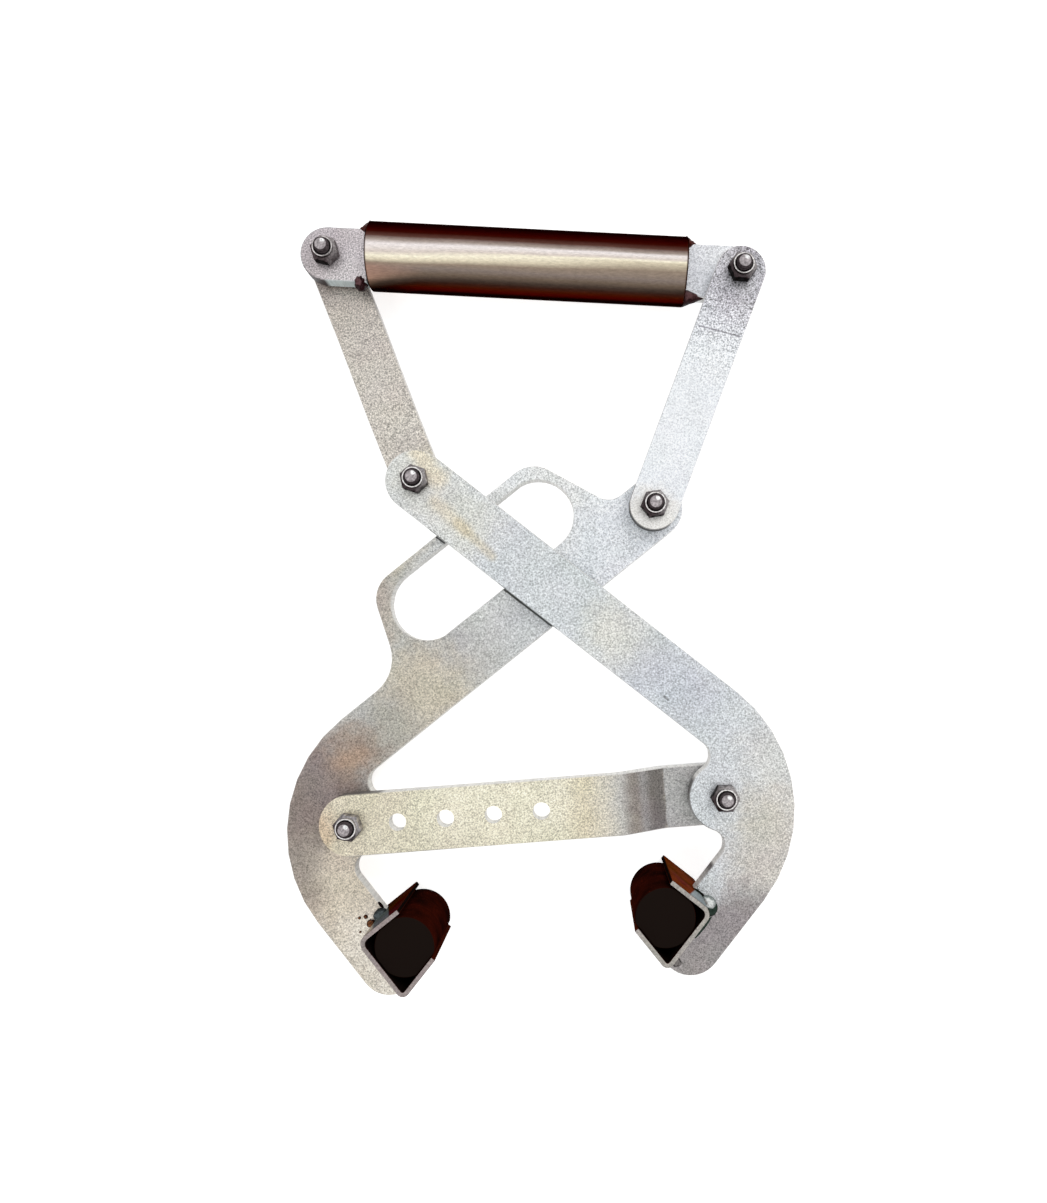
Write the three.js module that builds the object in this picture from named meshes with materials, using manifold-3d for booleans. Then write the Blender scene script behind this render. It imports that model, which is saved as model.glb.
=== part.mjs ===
// Paver lifting clamp: a scissor of two flat steel arms on a drilled tie bar, hung from
// a tube handle by two links, with a rubber block in a folded channel on each arm.
// Millimetres. X runs along the tie bar, Y towards the handle, Z up out of the plates.
// The clamp lies on its back, on the handle tube and the two jaws, with the nuts upward.

import * as THREE from 'three';
import Module from 'manifold-3d';
import { mergeVertices } from 'three/addons/utils/BufferGeometryUtils.js';

// Plate work
const plate = 8; // thickness of every arm, link, tab and bar
const fit = 0.3; // working gap between neighbouring pieces
const washerThickness = 1.6;
const edgeBreak = 0.4; // broken edge round the flat plates
const holeRadius = 4.5; // drilled pivot hole for an 8 mm bolt

// Linkage: centre distances and the pose it lies in
const tieSpan = 195; // between the two arm pivots on the tie bar
const linkSpan = 131; // between the two holes of a link
const handleSpan = 219; // between the two handle pivots
const frontTopInset = 47.7; // front arm's top hole, along the tie bar from the back arm's tie hole
const backTopInset = 24; // back arm's top hole, short of the front arm's tie hole
const rightLinkAngle = 65.2; // right link above the tie bar

// Arms: a straight band that turns through a quarter circle into a short leg
const armWidth = 32;
const armRun = 228; // top hole to tie hole, along the band
const armDrop = 31.2; // tie hole below the band's centre line
const legOut = 33; // tie hole to the leg's centre line, along the band
const legRun = armRun + legOut;
const legReach = 102; // band's centre line to the centre of the leg's round foot
const bendRadius = 77; // outside of the quarter circle
const bossRadius = 18; // plate round the tie hole
const bossFillet = 8;

// Hand hole in the back arm and the rim round it
const handStart = 50.5; // centre of the end nearer the top hole, along the band
const handEnd = 126; // centre of the far end
const handRadius = 19.2;
const rimThickness = 6.3;
const rimRootNear = 16; // where the rim's near flank would meet the band's edge
const rimCrownNear = 34.6; // where that flank would meet the rim's crown
const rimCrownFar = 144.2;
const rimRootFar = 160.8;
const rimCrownRadius = 16;
const rimRootNearRadius = 11;
const rimRootFarRadius = 22;

// Links, tie bar and handle
const linkWidth = 26;
const tieWidth = 32;
const tieEndRadius = 16;
const holePitch = 25; // row of spare holes that sets the clamp's width
const spareHoles = 4;
const joggleStart = 31; // tie hole to the inner bend of the tie bar's joggle
const joggleRun = 22.5; // length that the joggle takes
const linkJoggleStart = 42; // lower hole to the start of the left link's slow joggle
const linkJoggleRun = 45;
const tubeRadius = 17.5;
const tubeWall = 2.6;
const tubeInsetLeft = 22.45; // left handle pivot to the tube's end
const tubeInsetRight = 28.15;
const tubeRaise = 0.1; // tube axis above the middle of its two tabs
const tubeOffset = 2.2; // tube axis outward of the line through the two handle pivots
const rightTabOffset = 3.2; // right tab's middle outward of that line; the left tab lies on it
const tabWidth = 28.5;

// Jaws: a channel folded from sheet, with a round rubber bar pressed in
const sheet = 2.6;
const webWidth = 35;
const flangeLength = 24;
const footFlangeLean = 13; // degrees that the lower flange leans inward
const channelCorner = 3.6; // outside radius of a fold
const jawLength = 50;
const webOut = 24; // tie hole to the back of the web, along the band
const webRun = armRun + webOut;
const jawDrop = 79.5; // band's centre line to the outside of the upper flange
const rubberRadius = 15;
const rubberSetback = 1; // rubber end behind the channel end
const rubberFromWeb = 12.5; // rubber's centre to the inner faces that squeeze it
const rubberFromFlange = 13.1;
const sheetBreak = 0.25;

// Hardware, M8
const boltRadius = 4;
const boltHeadFlats = 13;
const boltHeadHeight = 5.3;
const boltStickOut = 3.2;
const boltTipRadius = 3.2;
const nutFlats = 13;
const nutHexHeight = 6.2;
const nutHeight = 8;
const collarRadius = 5.6;
const collarWall = 0.8;
const insertHeight = 1.5;
const boltClearance = 0.3; // bolt to the bore of its nut, insert and washer
const washerRadius = 8;

const nutTurns = [12, 20, 18, 4, 25, 10]; // degrees that each nut and head is turned

// Weld beads, as half sizes of an ellipsoid lump [x, y, z]
const tabBeadTop = [4.5, 2.6, 4];
const tabBeadToe = [4.5, 3.2, 4.2];
const tabBeadTail = [8.5, 3, 4];
const jawBeadLong = [6.5, 3.2, 3.2];
const jawBeadRound = [3.6, 4.2, 3.6];
const jawBeadFoot = [3.2, 5, 2.8];
const jawFootShare = 0.8; // lower bead's place down the web

// Facets
const circleSides = 36;
const holeSides = 24;
const beadSides = 16;
const tubeSides = 48;
const arcStep = 10; // degrees of an outline arc in one facet
const arcSlack = 1e-6; // an arc of whole steps takes no further one
const cutMargin = 2; // how far a cutting body runs past what it cuts

const rad = THREE.MathUtils.degToRad;
const pitch = plate + washerThickness + 2 * fit; // one layer of the stack
const halfPlate = plate / 2;
const halfArm = armWidth / 2;
const handleLift = pitch / 2; // left end of the handle sits half a layer up
const tubeAxisZ = handleLift / 2 + tubeRaise;
const jawBackZ = tubeAxisZ - tubeRadius; // tube and jaws lie in one plane

// Materials
const metal = (name, color, roughness, metalness) =>
  Object.assign(new THREE.MeshStandardMaterial({ color, roughness, metalness }), { name });
const zincPale = metal('zinc_pale', 0xc9ccd0, 0.45, 0.75);
const zincWarm = metal('zinc_warm', 0xb9b2a8, 0.48, 0.75);
const zincTube = metal('zinc_tube', 0xb8aa92, 0.25, 0.9);
const zincSheet = metal('zinc_sheet', 0xa9a7a4, 0.4, 0.8);
const boltZinc = metal('bolt_zinc', 0xa8aaad, 0.28, 0.95);
const weldMetal = metal('weld_metal', 0x6b5b52, 0.5, 0.7);
const nylon = metal('nylon', 0x9aa4ae, 0.5, 0);
const rubber = metal('rubber', 0x1b1817, 0.8, 0);

// Solids, cuts and joins
const wasm = await Module();
wasm.setup();

function toSolid(geometry) {
  const bare = geometry.clone();
  bare.deleteAttribute('normal');
  bare.deleteAttribute('uv');
  const merged = mergeVertices(bare, 1e-5);
  const index = merged.index.array;
  return new wasm.Manifold(new wasm.Mesh({
    numProp: 3,
    vertProperties: new Float32Array(merged.attributes.position.array),
    triVerts: new Uint32Array(index),
  }));
}

function toGeometry(solid) {
  const mesh = solid.getMesh();
  const geometry = new THREE.BufferGeometry();
  geometry.setAttribute('position', new THREE.BufferAttribute(mesh.vertProperties, 3));
  geometry.setIndex(new THREE.BufferAttribute(mesh.triVerts, 1));
  geometry.computeVertexNormals();
  return geometry;
}

// Outline from corner points [x, y, radius], each corner rounded by its radius
function roundedOutline(corners) {
  const points = [];
  corners.forEach(([x, y, radius], i) => {
    const corner = new THREE.Vector2(x, y);
    if (radius === 0) {
      points.push(corner);
      return;
    }
    const before = corners[(i + corners.length - 1) % corners.length];
    const after = corners[(i + 1) % corners.length];
    const back = new THREE.Vector2(before[0] - x, before[1] - y).normalize();
    const ahead = new THREE.Vector2(after[0] - x, after[1] - y).normalize();
    const half = Math.acos(THREE.MathUtils.clamp(back.dot(ahead), -1, 1)) / 2;
    const tangent = radius / Math.tan(half);
    const centre = back.clone().add(ahead).normalize().multiplyScalar(radius / Math.sin(half)).add(corner);
    const from = back.multiplyScalar(tangent).add(corner).sub(centre);
    const to = ahead.multiplyScalar(tangent).add(corner).sub(centre);
    const turn = Math.atan2(from.cross(to), from.dot(to));
    const steps = Math.max(2, Math.ceil(Math.abs(turn) / rad(arcStep) - arcSlack));
    for (let k = 0; k <= steps; k += 1) {
      points.push(from.clone().rotateAround(new THREE.Vector2(), (turn * k) / steps).add(centre));
    }
  });
  return points;
}

function ring(x, y, radius, sides = holeSides) {
  const points = [];
  for (let k = 0; k < sides; k += 1) {
    const angle = (2 * Math.PI * k) / sides;
    points.push(new THREE.Vector2(x + radius * Math.cos(angle), y + radius * Math.sin(angle)));
  }
  return points;
}

// Flat plate about z = 0, with its edges broken
function flatPlate(outline, holes = [], thickness = plate, bevel = edgeBreak) {
  const shape = new THREE.Shape(outline);
  holes.forEach((hole) => shape.holes.push(new THREE.Path(hole)));
  const geometry = new THREE.ExtrudeGeometry(shape, {
    depth: thickness - 2 * bevel,
    bevelEnabled: bevel > 0,
    bevelThickness: bevel,
    bevelSize: bevel,
    bevelOffset: -bevel,
    bevelSegments: 1,
    steps: 1,
  });
  geometry.translate(0, 0, bevel - thickness / 2);
  return geometry;
}

function cylinder(radius, length, sides = circleSides) {
  return new THREE.CylinderGeometry(radius, radius, length, sides).rotateX(Math.PI / 2);
}

const root = new THREE.Group();
root.name = 'paver_lifting_clamp';

function add(parent, name, geometry, material) {
  const mesh = new THREE.Mesh(geometry, material);
  mesh.name = name;
  parent.add(mesh);
  return mesh;
}

function place(parent, x, y, z = 0, angle = 0) {
  const group = new THREE.Group();
  group.position.set(x, y, z);
  group.rotation.z = angle;
  parent.add(group);
  return group;
}

// Pivot points of the pose: E and F on the tie bar, C and D on the arms, A and B on the handle
const armSpan = Math.hypot(armRun, armDrop);
const armSkew = Math.atan2(armDrop, armRun);
const frontArmAngle = Math.acos((tieSpan - frontTopInset) / armSpan);
const backArmAngle = Math.acos((tieSpan - backTopInset) / armSpan);
const E = new THREE.Vector2(0, 0);
const F = new THREE.Vector2(tieSpan, 0);
const swing = (length, angle) => new THREE.Vector2(length * Math.cos(angle), length * Math.sin(angle));
const C = swing(armSpan, Math.PI - frontArmAngle).add(F);
const D = swing(armSpan, backArmAngle).add(E);
const B = swing(linkSpan, rad(rightLinkAngle)).add(D);
const bridge = B.clone().sub(C);
const along = (linkSpan ** 2 - handleSpan ** 2 + bridge.lengthSq()) / (2 * bridge.length());
const aside = Math.sqrt(linkSpan ** 2 - along ** 2);
const A = bridge.clone().setLength(along).add(C)
  .add(new THREE.Vector2(-bridge.y, bridge.x).setLength(aside));
const headingOf = (from, to) => Math.atan2(to.y - from.y, to.x - from.x);

// Everything stands on the tube and the jaws, with the origin under the middle
const clamp = place(root, 0, 0, -jawBackZ);

// Arms
// The band runs along +x from the top hole; side is +1 where the leg hangs to -y
function armOutline(withHandHole) {
  const legOut = legRun + halfArm;
  const legIn = legRun - halfArm;
  const seat = webRun + fit;
  const foot = -legReach;
  const points = [];
  const arc = (cx, cy, radius, start, end) => {
    const steps = Math.max(2, Math.ceil(Math.abs(end - start) / arcStep));
    for (let k = 0; k <= steps; k += 1) {
      const angle = rad(start + ((end - start) * k) / steps);
      points.push(new THREE.Vector2(cx + radius * Math.cos(angle), cy + radius * Math.sin(angle)));
    }
  };
  // round top end, from the inner edge up to the outer edge
  arc(0, 0, halfArm, 270, 90);
  if (withHandHole) {
    const crown = halfArm + 2 * handRadius + rimThickness;
    const flank = [
      [0, halfArm, 0],
      [rimRootNear, halfArm, rimRootNearRadius],
      [rimCrownNear, crown, rimCrownRadius],
      [rimCrownFar, crown, rimCrownRadius],
      [rimRootFar, halfArm, rimRootFarRadius],
      [legOut - bendRadius, halfArm, 0],
    ];
    roundedOutline(flank).slice(1, -1).forEach((point) => points.push(point));
  }
  // outside of the bend, down the leg, round the foot to the seat cut for the jaw
  arc(legOut - bendRadius, halfArm - bendRadius, bendRadius, 90, 0);
  arc(legRun, foot, halfArm, 0, -Math.round(180 - THREE.MathUtils.radToDeg(Math.acos((legRun - seat) / halfArm))));
  points.pop();
  points.push(new THREE.Vector2(seat, foot - Math.sqrt(halfArm ** 2 - (legRun - seat) ** 2)));
  points.push(new THREE.Vector2(seat, fit - jawDrop));
  points.push(new THREE.Vector2(legIn, fit - jawDrop));
  // inside of the leg, round the tie hole's boss and back to the band
  const reach = bossRadius + bossFillet;
  const legFilletY = -armDrop - Math.sqrt(reach ** 2 - (legIn - bossFillet - armRun) ** 2);
  const bandFilletX = armRun - Math.sqrt(reach ** 2 - (armDrop - halfArm - bossFillet) ** 2);
  const toLeg = THREE.MathUtils.radToDeg(Math.atan2(legFilletY + armDrop, legIn - bossFillet - armRun));
  const toBand = THREE.MathUtils.radToDeg(Math.atan2(armDrop - halfArm - bossFillet, bandFilletX - armRun));
  arc(legIn - bossFillet, legFilletY, bossFillet, 0, toLeg + 180);
  arc(armRun, -armDrop, bossRadius, toLeg + 360, toBand);
  arc(bandFilletX, -halfArm - bossFillet, bossFillet, toBand - 180, 90);
  return points;
}

// Race-track outline of the hand hole
function handHole() {
  const y = halfArm + handRadius;
  const ends = ring(0, 0, handRadius, circleSides);
  const far = ends.filter((point) => point.x >= 0).map((point) => new THREE.Vector2(point.x + handEnd, point.y + y));
  const near = ends.filter((point) => point.x <= 0).map((point) => new THREE.Vector2(point.x + handStart, point.y + y));
  const byAngle = (cx) => (p, q) => Math.atan2(p.y - y, p.x - cx) - Math.atan2(q.y - y, q.x - cx);
  const turned = (point) => (Math.atan2(point.y - y, point.x - handStart) + 2 * Math.PI) % (2 * Math.PI);
  return [...far.sort(byAngle(handEnd)), ...near.sort((p, q) => turned(p) - turned(q))];
}

function makeArm(group, side, prefix, withHandHole, material) {
  const turn = (points) => points.map((point) => new THREE.Vector2(point.x, side * point.y));
  const holes = [ring(0, 0, holeRadius), ring(armRun, -armDrop, holeRadius)];
  if (withHandHole) holes.push(handHole());
  add(group, `${prefix}_arm`, flatPlate(turn(armOutline(withHandHole)), holes.map(turn)), material);
}

// Jaws
// Channel section: upper flange, web and leaning lower flange, open towards the other jaw
function channelSection() {
  const top = -jawDrop;
  const bottom = top - webWidth;
  const lean = rad(footFlangeLean);
  const run = new THREE.Vector2(-Math.cos(lean), Math.sin(lean));
  const inward = new THREE.Vector2(Math.sin(lean), Math.cos(lean));
  const footTip = run.clone().multiplyScalar(flangeLength).add(new THREE.Vector2(webRun, bottom));
  const footInner = inward.clone().multiplyScalar(sheet);
  const slide = (sheet * (1 + Math.sin(lean))) / Math.cos(lean);
  const innerCorner = run.clone().multiplyScalar(slide).add(footInner).add(new THREE.Vector2(webRun, bottom));
  return {
    outline: roundedOutline([
      [webRun - flangeLength, top, 0],
      [webRun, top, channelCorner],
      [webRun, bottom, channelCorner],
      [footTip.x, footTip.y, 0],
      [footTip.x + footInner.x, footTip.y + footInner.y, 0],
      [innerCorner.x, innerCorner.y, channelCorner - sheet],
      [webRun - sheet, top - sheet, channelCorner - sheet],
      [webRun - flangeLength, top - sheet, 0],
    ]),
    // inner faces as [point on the face, direction into the hollow]
    faces: [
      [new THREE.Vector2(webRun - sheet, top), new THREE.Vector2(-1, 0)],
      [new THREE.Vector2(webRun, top - sheet), new THREE.Vector2(0, -1)],
      [innerCorner, inward],
    ],
  };
}

// Round bar section flattened where it beds against the channel's inner faces
function beddedSection(centre, radius, faces) {
  let points = ring(centre.x, centre.y, radius, circleSides);
  faces.forEach(([point, inward]) => {
    const depth = (p) => p.clone().sub(point).dot(inward) - fit;
    const kept = [];
    points.forEach((p, i) => {
      const q = points[(i + 1) % points.length];
      const a = depth(p);
      const b = depth(q);
      if (a >= 0) kept.push(p);
      if ((a > 0 && b < 0) || (a < 0 && b > 0)) kept.push(p.clone().lerp(q, a / (a - b)));
    });
    points = kept;
  });
  const apart = (p, i) => p.distanceTo(points[(i + 1) % points.length]) > 2 * edgeBreak;
  return points.filter(apart);
}

// Weld bead: an ellipsoid lump cut flat by the block between two corners
function weldBead(centre, halfSizes, low, high) {
  const lump = new THREE.SphereGeometry(1, beadSides, beadSides / 2).scale(...halfSizes);
  lump.translate(...centre);
  const block = new THREE.BoxGeometry(high[0] - low[0], high[1] - low[1], high[2] - low[2]);
  block.translate((low[0] + high[0]) / 2, (low[1] + high[1]) / 2, (low[2] + high[2]) / 2);
  return toGeometry(toSolid(lump).intersect(toSolid(block)));
}

function makeJaw(group, side, prefix, plateFront, beads) {
  const section = channelSection();
  const turn = (points) => points.map((point) => new THREE.Vector2(point.x, side * point.y));
  const channel = flatPlate(turn(section.outline), [], jawLength, sheetBreak);
  channel.translate(0, 0, jawBackZ + jawLength / 2);
  add(group, `${prefix}_jaw_channel`, channel, zincSheet);
  const centre = new THREE.Vector2(webRun - sheet - rubberFromWeb, -jawDrop - sheet - rubberFromFlange);
  const block = beddedSection(centre, rubberRadius, section.faces);
  const bar = flatPlate(turn(block), [], jawLength - 2 * rubberSetback, edgeBreak);
  bar.translate(0, 0, jawBackZ + jawLength / 2);
  add(group, `${prefix}_jaw_rubber`, bar, rubber);
  const z = plateFront + fit;
  beads.forEach(({ name, x, y, size, against }) => {
    const nearX = against === 'web' ? webRun + fit : x - armWidth;
    const topY = 0;
    const lowY = against === 'web' ? y - armWidth : fit - jawDrop;
    const low = [nearX, Math.min(side * topY, side * lowY), z];
    const high = [x + armWidth, Math.max(side * topY, side * lowY), z + armWidth];
    add(group, `${prefix}_jaw_weld_${name}`, weldBead([x, side * y, z], size, low, high), weldMetal);
  });
}

// Bars with a joggle
// Side view (x along the bar, z across its thickness) swept over the width,
// then trimmed to the plan outline and drilled
function joggledBar(length, width, endRadius, zStart, zEnd, stepStart, stepRun, holes) {
  const reach = endRadius + cutMargin;
  const slope = Math.atan2(zEnd - zStart, stepRun);
  const shift = halfPlate * Math.tan(slope / 2);
  const profile = [
    [-reach, zStart - halfPlate],
    [stepStart + shift, zStart - halfPlate],
    [stepStart + stepRun + shift, zEnd - halfPlate],
    [length + reach, zEnd - halfPlate],
    [length + reach, zEnd + halfPlate],
    [stepStart + stepRun - shift, zEnd + halfPlate],
    [stepStart - shift, zStart + halfPlate],
    [-reach, zStart + halfPlate],
  ];
  const folds = [1, 2, 5, 6];
  const corners = profile.map(([x, z], i) => [x, z, folds.includes(i) ? plate / 2 : 0]);
  const side = flatPlate(roundedOutline(corners), [], width, edgeBreak).rotateX(Math.PI / 2);
  const half = width / 2;
  const plan = roundedOutline([
    [-endRadius, -half, endRadius],
    [length + endRadius, -half, endRadius],
    [length + endRadius, half, endRadius],
    [-endRadius, half, endRadius],
  ]);
  const tall = Math.abs(zEnd - zStart) + plate + 2 * cutMargin;
  const trim = flatPlate(plan, [], tall, 0).translate(0, 0, (zStart + zEnd) / 2);
  let bar = toSolid(side).intersect(toSolid(trim));
  holes.forEach((x) => {
    const drill = cylinder(holeRadius, tall, holeSides).translate(x, 0, (zStart + zEnd) / 2);
    bar = bar.subtract(toSolid(drill));
  });
  return toGeometry(bar);
}

// M8 bolt, lock nut, nylon insert and washer on one pivot
function hexPrism(flats, height, z) {
  const corner = flats / Math.sqrt(3);
  const hex = new THREE.CylinderGeometry(corner, corner, height, 6).rotateX(Math.PI / 2);
  // the corners are turned off at both ends
  const turnOff = (corner - flats / 2) / 2;
  const half = height / 2;
  const turned = new THREE.LatheGeometry([
    new THREE.Vector2(0, -half - cutMargin),
    new THREE.Vector2(flats / 2 - cutMargin * Math.sqrt(3), -half - cutMargin),
    new THREE.Vector2(corner + fit, -half + turnOff),
    new THREE.Vector2(corner + fit, half - turnOff),
    new THREE.Vector2(flats / 2 - cutMargin * Math.sqrt(3), half + cutMargin),
    new THREE.Vector2(0, half + cutMargin),
  ], holeSides).rotateX(Math.PI / 2);
  return toSolid(hex.translate(0, 0, z)).intersect(toSolid(turned.translate(0, 0, z)));
}

function lathe(profile, sides = holeSides) {
  return new THREE.LatheGeometry(profile.map(([r, z]) => new THREE.Vector2(r, z)), sides).rotateX(Math.PI / 2);
}

function makePivot(group, name, x, y, lift, turn) {
  const back = lift - halfPlate - fit;
  const front = lift + pitch + halfPlate + fit;
  const tip = front + nutHeight + boltStickOut;
  const spot = place(group, x, y, 0, turn);
  const head = hexPrism(boltHeadFlats, boltHeadHeight, back - boltHeadHeight / 2);
  const chamfer = boltRadius - boltTipRadius;
  const shank = toSolid(lathe([
    [0, back - boltHeadHeight / 2],
    [boltRadius, back - boltHeadHeight / 2],
    [boltRadius, tip - chamfer],
    [boltTipRadius, tip],
    [0, tip],
  ]));
  add(spot, `bolt_${name}`, toGeometry(head.add(shank)), boltZinc);
  const bore = boltRadius + boltClearance;
  const pocket = collarRadius - collarWall;
  const hex = hexPrism(nutFlats, nutHexHeight, front + nutHexHeight / 2);
  const collar = toSolid(lathe([
    [0, front + nutHexHeight / 2],
    [collarRadius, front + nutHexHeight / 2],
    [collarRadius, front + nutHeight - collarWall / 2],
    [collarRadius - collarWall / 2, front + nutHeight],
    [0, front + nutHeight],
  ]));
  const drill = toSolid(lathe([
    [0, front - cutMargin],
    [bore, front - cutMargin],
    [bore, front + nutHexHeight - fit],
    [pocket, front + nutHexHeight - fit],
    [pocket, front + nutHeight + cutMargin],
    [0, front + nutHeight + cutMargin],
  ]));
  add(spot, `nut_${name}`, toGeometry(hex.add(collar).subtract(drill)), boltZinc);
  const insert = lathe([
    [bore, front + nutHexHeight],
    [pocket - fit, front + nutHexHeight],
    [pocket - fit, front + nutHexHeight + insertHeight],
    [bore, front + nutHexHeight + insertHeight],
    [bore, front + nutHexHeight],
  ]);
  add(spot, `insert_${name}`, insert, nylon);
  const washerBottom = lift + halfPlate + fit;
  const washer = lathe([
    [bore, washerBottom],
    [washerRadius, washerBottom],
    [washerRadius, washerBottom + washerThickness],
    [bore, washerBottom + washerThickness],
    [bore, washerBottom],
  ]);
  add(spot, `washer_${name}`, washer, boltZinc);
}

// Assembly: layer 0 lies at the back, layer 1 in front of it
const bodies = {
  back: place(clamp, D.x, D.y, 0, headingOf(D, E) - armSkew),
  front: place(clamp, C.x, C.y, 0, headingOf(C, F) + armSkew),
  leftLink: place(clamp, C.x, C.y, 0, headingOf(C, A)),
  rightLink: place(clamp, D.x, D.y, 0, headingOf(D, B)),
  handle: place(clamp, A.x, A.y, 0, headingOf(A, B)),
};

// arms, each with its jaw; the plates are one shape, mirrored
makeArm(bodies.back, -1, 'back', true, zincWarm);
makeJaw(bodies.back, -1, 'left', halfPlate, [
  { name: 'upper', x: webRun - jawBeadRound[0], y: fit - jawDrop, size: jawBeadLong, against: 'flange' },
  { name: 'foot', x: webRun + fit, y: -jawDrop - webWidth * jawFootShare, size: jawBeadFoot, against: 'web' },
]);
makeArm(place(bodies.front, 0, 0, pitch), 1, 'front', false, zincPale);
makeJaw(bodies.front, 1, 'right', pitch + halfPlate, [
  { name: 'upper', x: webRun + jawBeadRound[0], y: fit - jawDrop, size: jawBeadRound, against: 'flange' },
  { name: 'foot', x: webRun + fit, y: -jawDrop - webWidth * jawFootShare, size: jawBeadFoot, against: 'web' },
]);

// links: the right one is straight, the left one eases half a layer back to its top hole
const linkEnd = linkWidth / 2;
const linkPlan = roundedOutline([
  [-linkEnd, -linkEnd, linkEnd],
  [linkSpan + linkEnd, -linkEnd, linkEnd],
  [linkSpan + linkEnd, linkEnd, linkEnd],
  [-linkEnd, linkEnd, linkEnd],
]);
const linkHoles = [ring(0, 0, holeRadius), ring(linkSpan, 0, holeRadius)];
add(place(bodies.rightLink, 0, 0, pitch), 'right_link', flatPlate(linkPlan, linkHoles), zincPale);
add(bodies.leftLink, 'left_link', joggledBar(
  linkSpan, linkWidth, linkEnd, 0, -handleLift, linkJoggleStart, linkJoggleRun, [0, linkSpan],
), zincWarm);

// tie bar: layer 1 at the back arm, down to layer 0 at the front arm
const spareRow = Array.from({ length: spareHoles }, (_, k) => (k + 1) * holePitch);
const tieStep = tieSpan - joggleStart - joggleRun;
add(clamp, 'tie_bar', joggledBar(
  tieSpan, tieWidth, tieEndRadius, pitch, 0, tieStep, joggleRun, [0, ...spareRow, tieSpan],
), zincWarm);

// handle: tube with a tab butted and welded to each end
const tubeStart = tubeInsetLeft;
const tubeEnd = handleSpan - tubeInsetRight;
const tubeLength = tubeEnd - tubeStart;
const tube = lathe([
  [tubeRadius - tubeWall, -tubeLength / 2],
  [tubeRadius - sheetBreak, -tubeLength / 2],
  [tubeRadius, sheetBreak - tubeLength / 2],
  [tubeRadius, tubeLength / 2 - sheetBreak],
  [tubeRadius - sheetBreak, tubeLength / 2],
  [tubeRadius - tubeWall, tubeLength / 2],
  [tubeRadius - tubeWall, -tubeLength / 2],
], tubeSides).rotateY(Math.PI / 2).translate(tubeStart + tubeLength / 2, tubeOffset, tubeAxisZ);
add(bodies.handle, 'handle_tube', tube, zincTube);
const tabEnd = tabWidth / 2;
const tabs = [
  { name: 'left', x: 0, y: 0, inner: tubeStart - fit, z: handleLift, toe: tabBeadToe },
  { name: 'right', x: handleSpan, y: rightTabOffset, inner: tubeEnd + fit, z: 0, toe: tabBeadTail },
];
tabs.forEach(({ name, x, y, inner, z, toe }) => {
  const out = Math.sign(x - inner);
  const plan = roundedOutline([
    [inner, y - tabEnd, 0],
    [x + out * tabEnd, y - tabEnd, tabEnd],
    [x + out * tabEnd, y + tabEnd, tabEnd],
    [inner, y + tabEnd, 0],
  ]);
  const tab = flatPlate(plan, [ring(x, 0, holeRadius)]).translate(0, 0, z);
  add(bodies.handle, `handle_tab_${name}`, tab, zincPale);
  const topEdge = y + tabEnd + fit;
  const lowEdge = y - tabEnd - fit;
  const reach = inner + out * tabWidth;
  const lowX = Math.min(inner, reach);
  const highX = Math.max(inner, reach);
  const above = topEdge + tabWidth;
  const below = lowEdge - tabWidth;
  const top = weldBead([inner, topEdge, z], tabBeadTop, [lowX, topEdge, z - tabWidth], [highX, above, z + tabWidth]);
  add(bodies.handle, `handle_weld_top_${name}`, top, weldMetal);
  const low = weldBead([inner, lowEdge, z], toe, [lowX, below, z - tabWidth], [highX, lowEdge, z + tabWidth]);
  add(bodies.handle, `handle_weld_low_${name}`, low, weldMetal);
});

// bolts, with their nuts, inserts and washers
const pivots = [
  { name: 'handle_left', at: A, lift: -handleLift },
  { name: 'handle_right', at: B, lift: 0 },
  { name: 'link_left', at: C, lift: 0 },
  { name: 'link_right', at: D, lift: 0 },
  { name: 'tie_left', at: E, lift: 0 },
  { name: 'tie_right', at: F, lift: 0 },
];
pivots.forEach(({ name, at, lift }, i) => makePivot(clamp, name, at.x, at.y, lift, rad(nutTurns[i])));

// origin on the ground, under the middle of the clamp
root.updateMatrixWorld(true);
const box = new THREE.Box3().setFromObject(root, true);
const middle = box.getCenter(new THREE.Vector3());
root.position.set(-middle.x, -middle.y, 0);

export default root;
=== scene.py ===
import math

import bmesh
import bpy
from mathutils import Matrix, Vector, noise


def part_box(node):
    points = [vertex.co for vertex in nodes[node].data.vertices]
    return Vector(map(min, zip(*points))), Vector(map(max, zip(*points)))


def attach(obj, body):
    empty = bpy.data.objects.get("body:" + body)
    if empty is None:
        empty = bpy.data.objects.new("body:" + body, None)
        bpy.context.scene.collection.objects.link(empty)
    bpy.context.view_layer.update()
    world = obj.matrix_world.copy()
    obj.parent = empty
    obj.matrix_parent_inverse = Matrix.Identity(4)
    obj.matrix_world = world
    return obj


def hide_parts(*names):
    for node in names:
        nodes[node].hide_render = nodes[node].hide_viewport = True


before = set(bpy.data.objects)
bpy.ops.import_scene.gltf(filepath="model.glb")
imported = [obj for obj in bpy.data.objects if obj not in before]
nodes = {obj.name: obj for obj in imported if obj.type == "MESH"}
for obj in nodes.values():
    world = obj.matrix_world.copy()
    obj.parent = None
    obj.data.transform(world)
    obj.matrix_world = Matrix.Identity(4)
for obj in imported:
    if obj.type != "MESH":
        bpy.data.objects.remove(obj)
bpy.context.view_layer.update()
scene = bpy.context.scene
MM = 0.001

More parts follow.
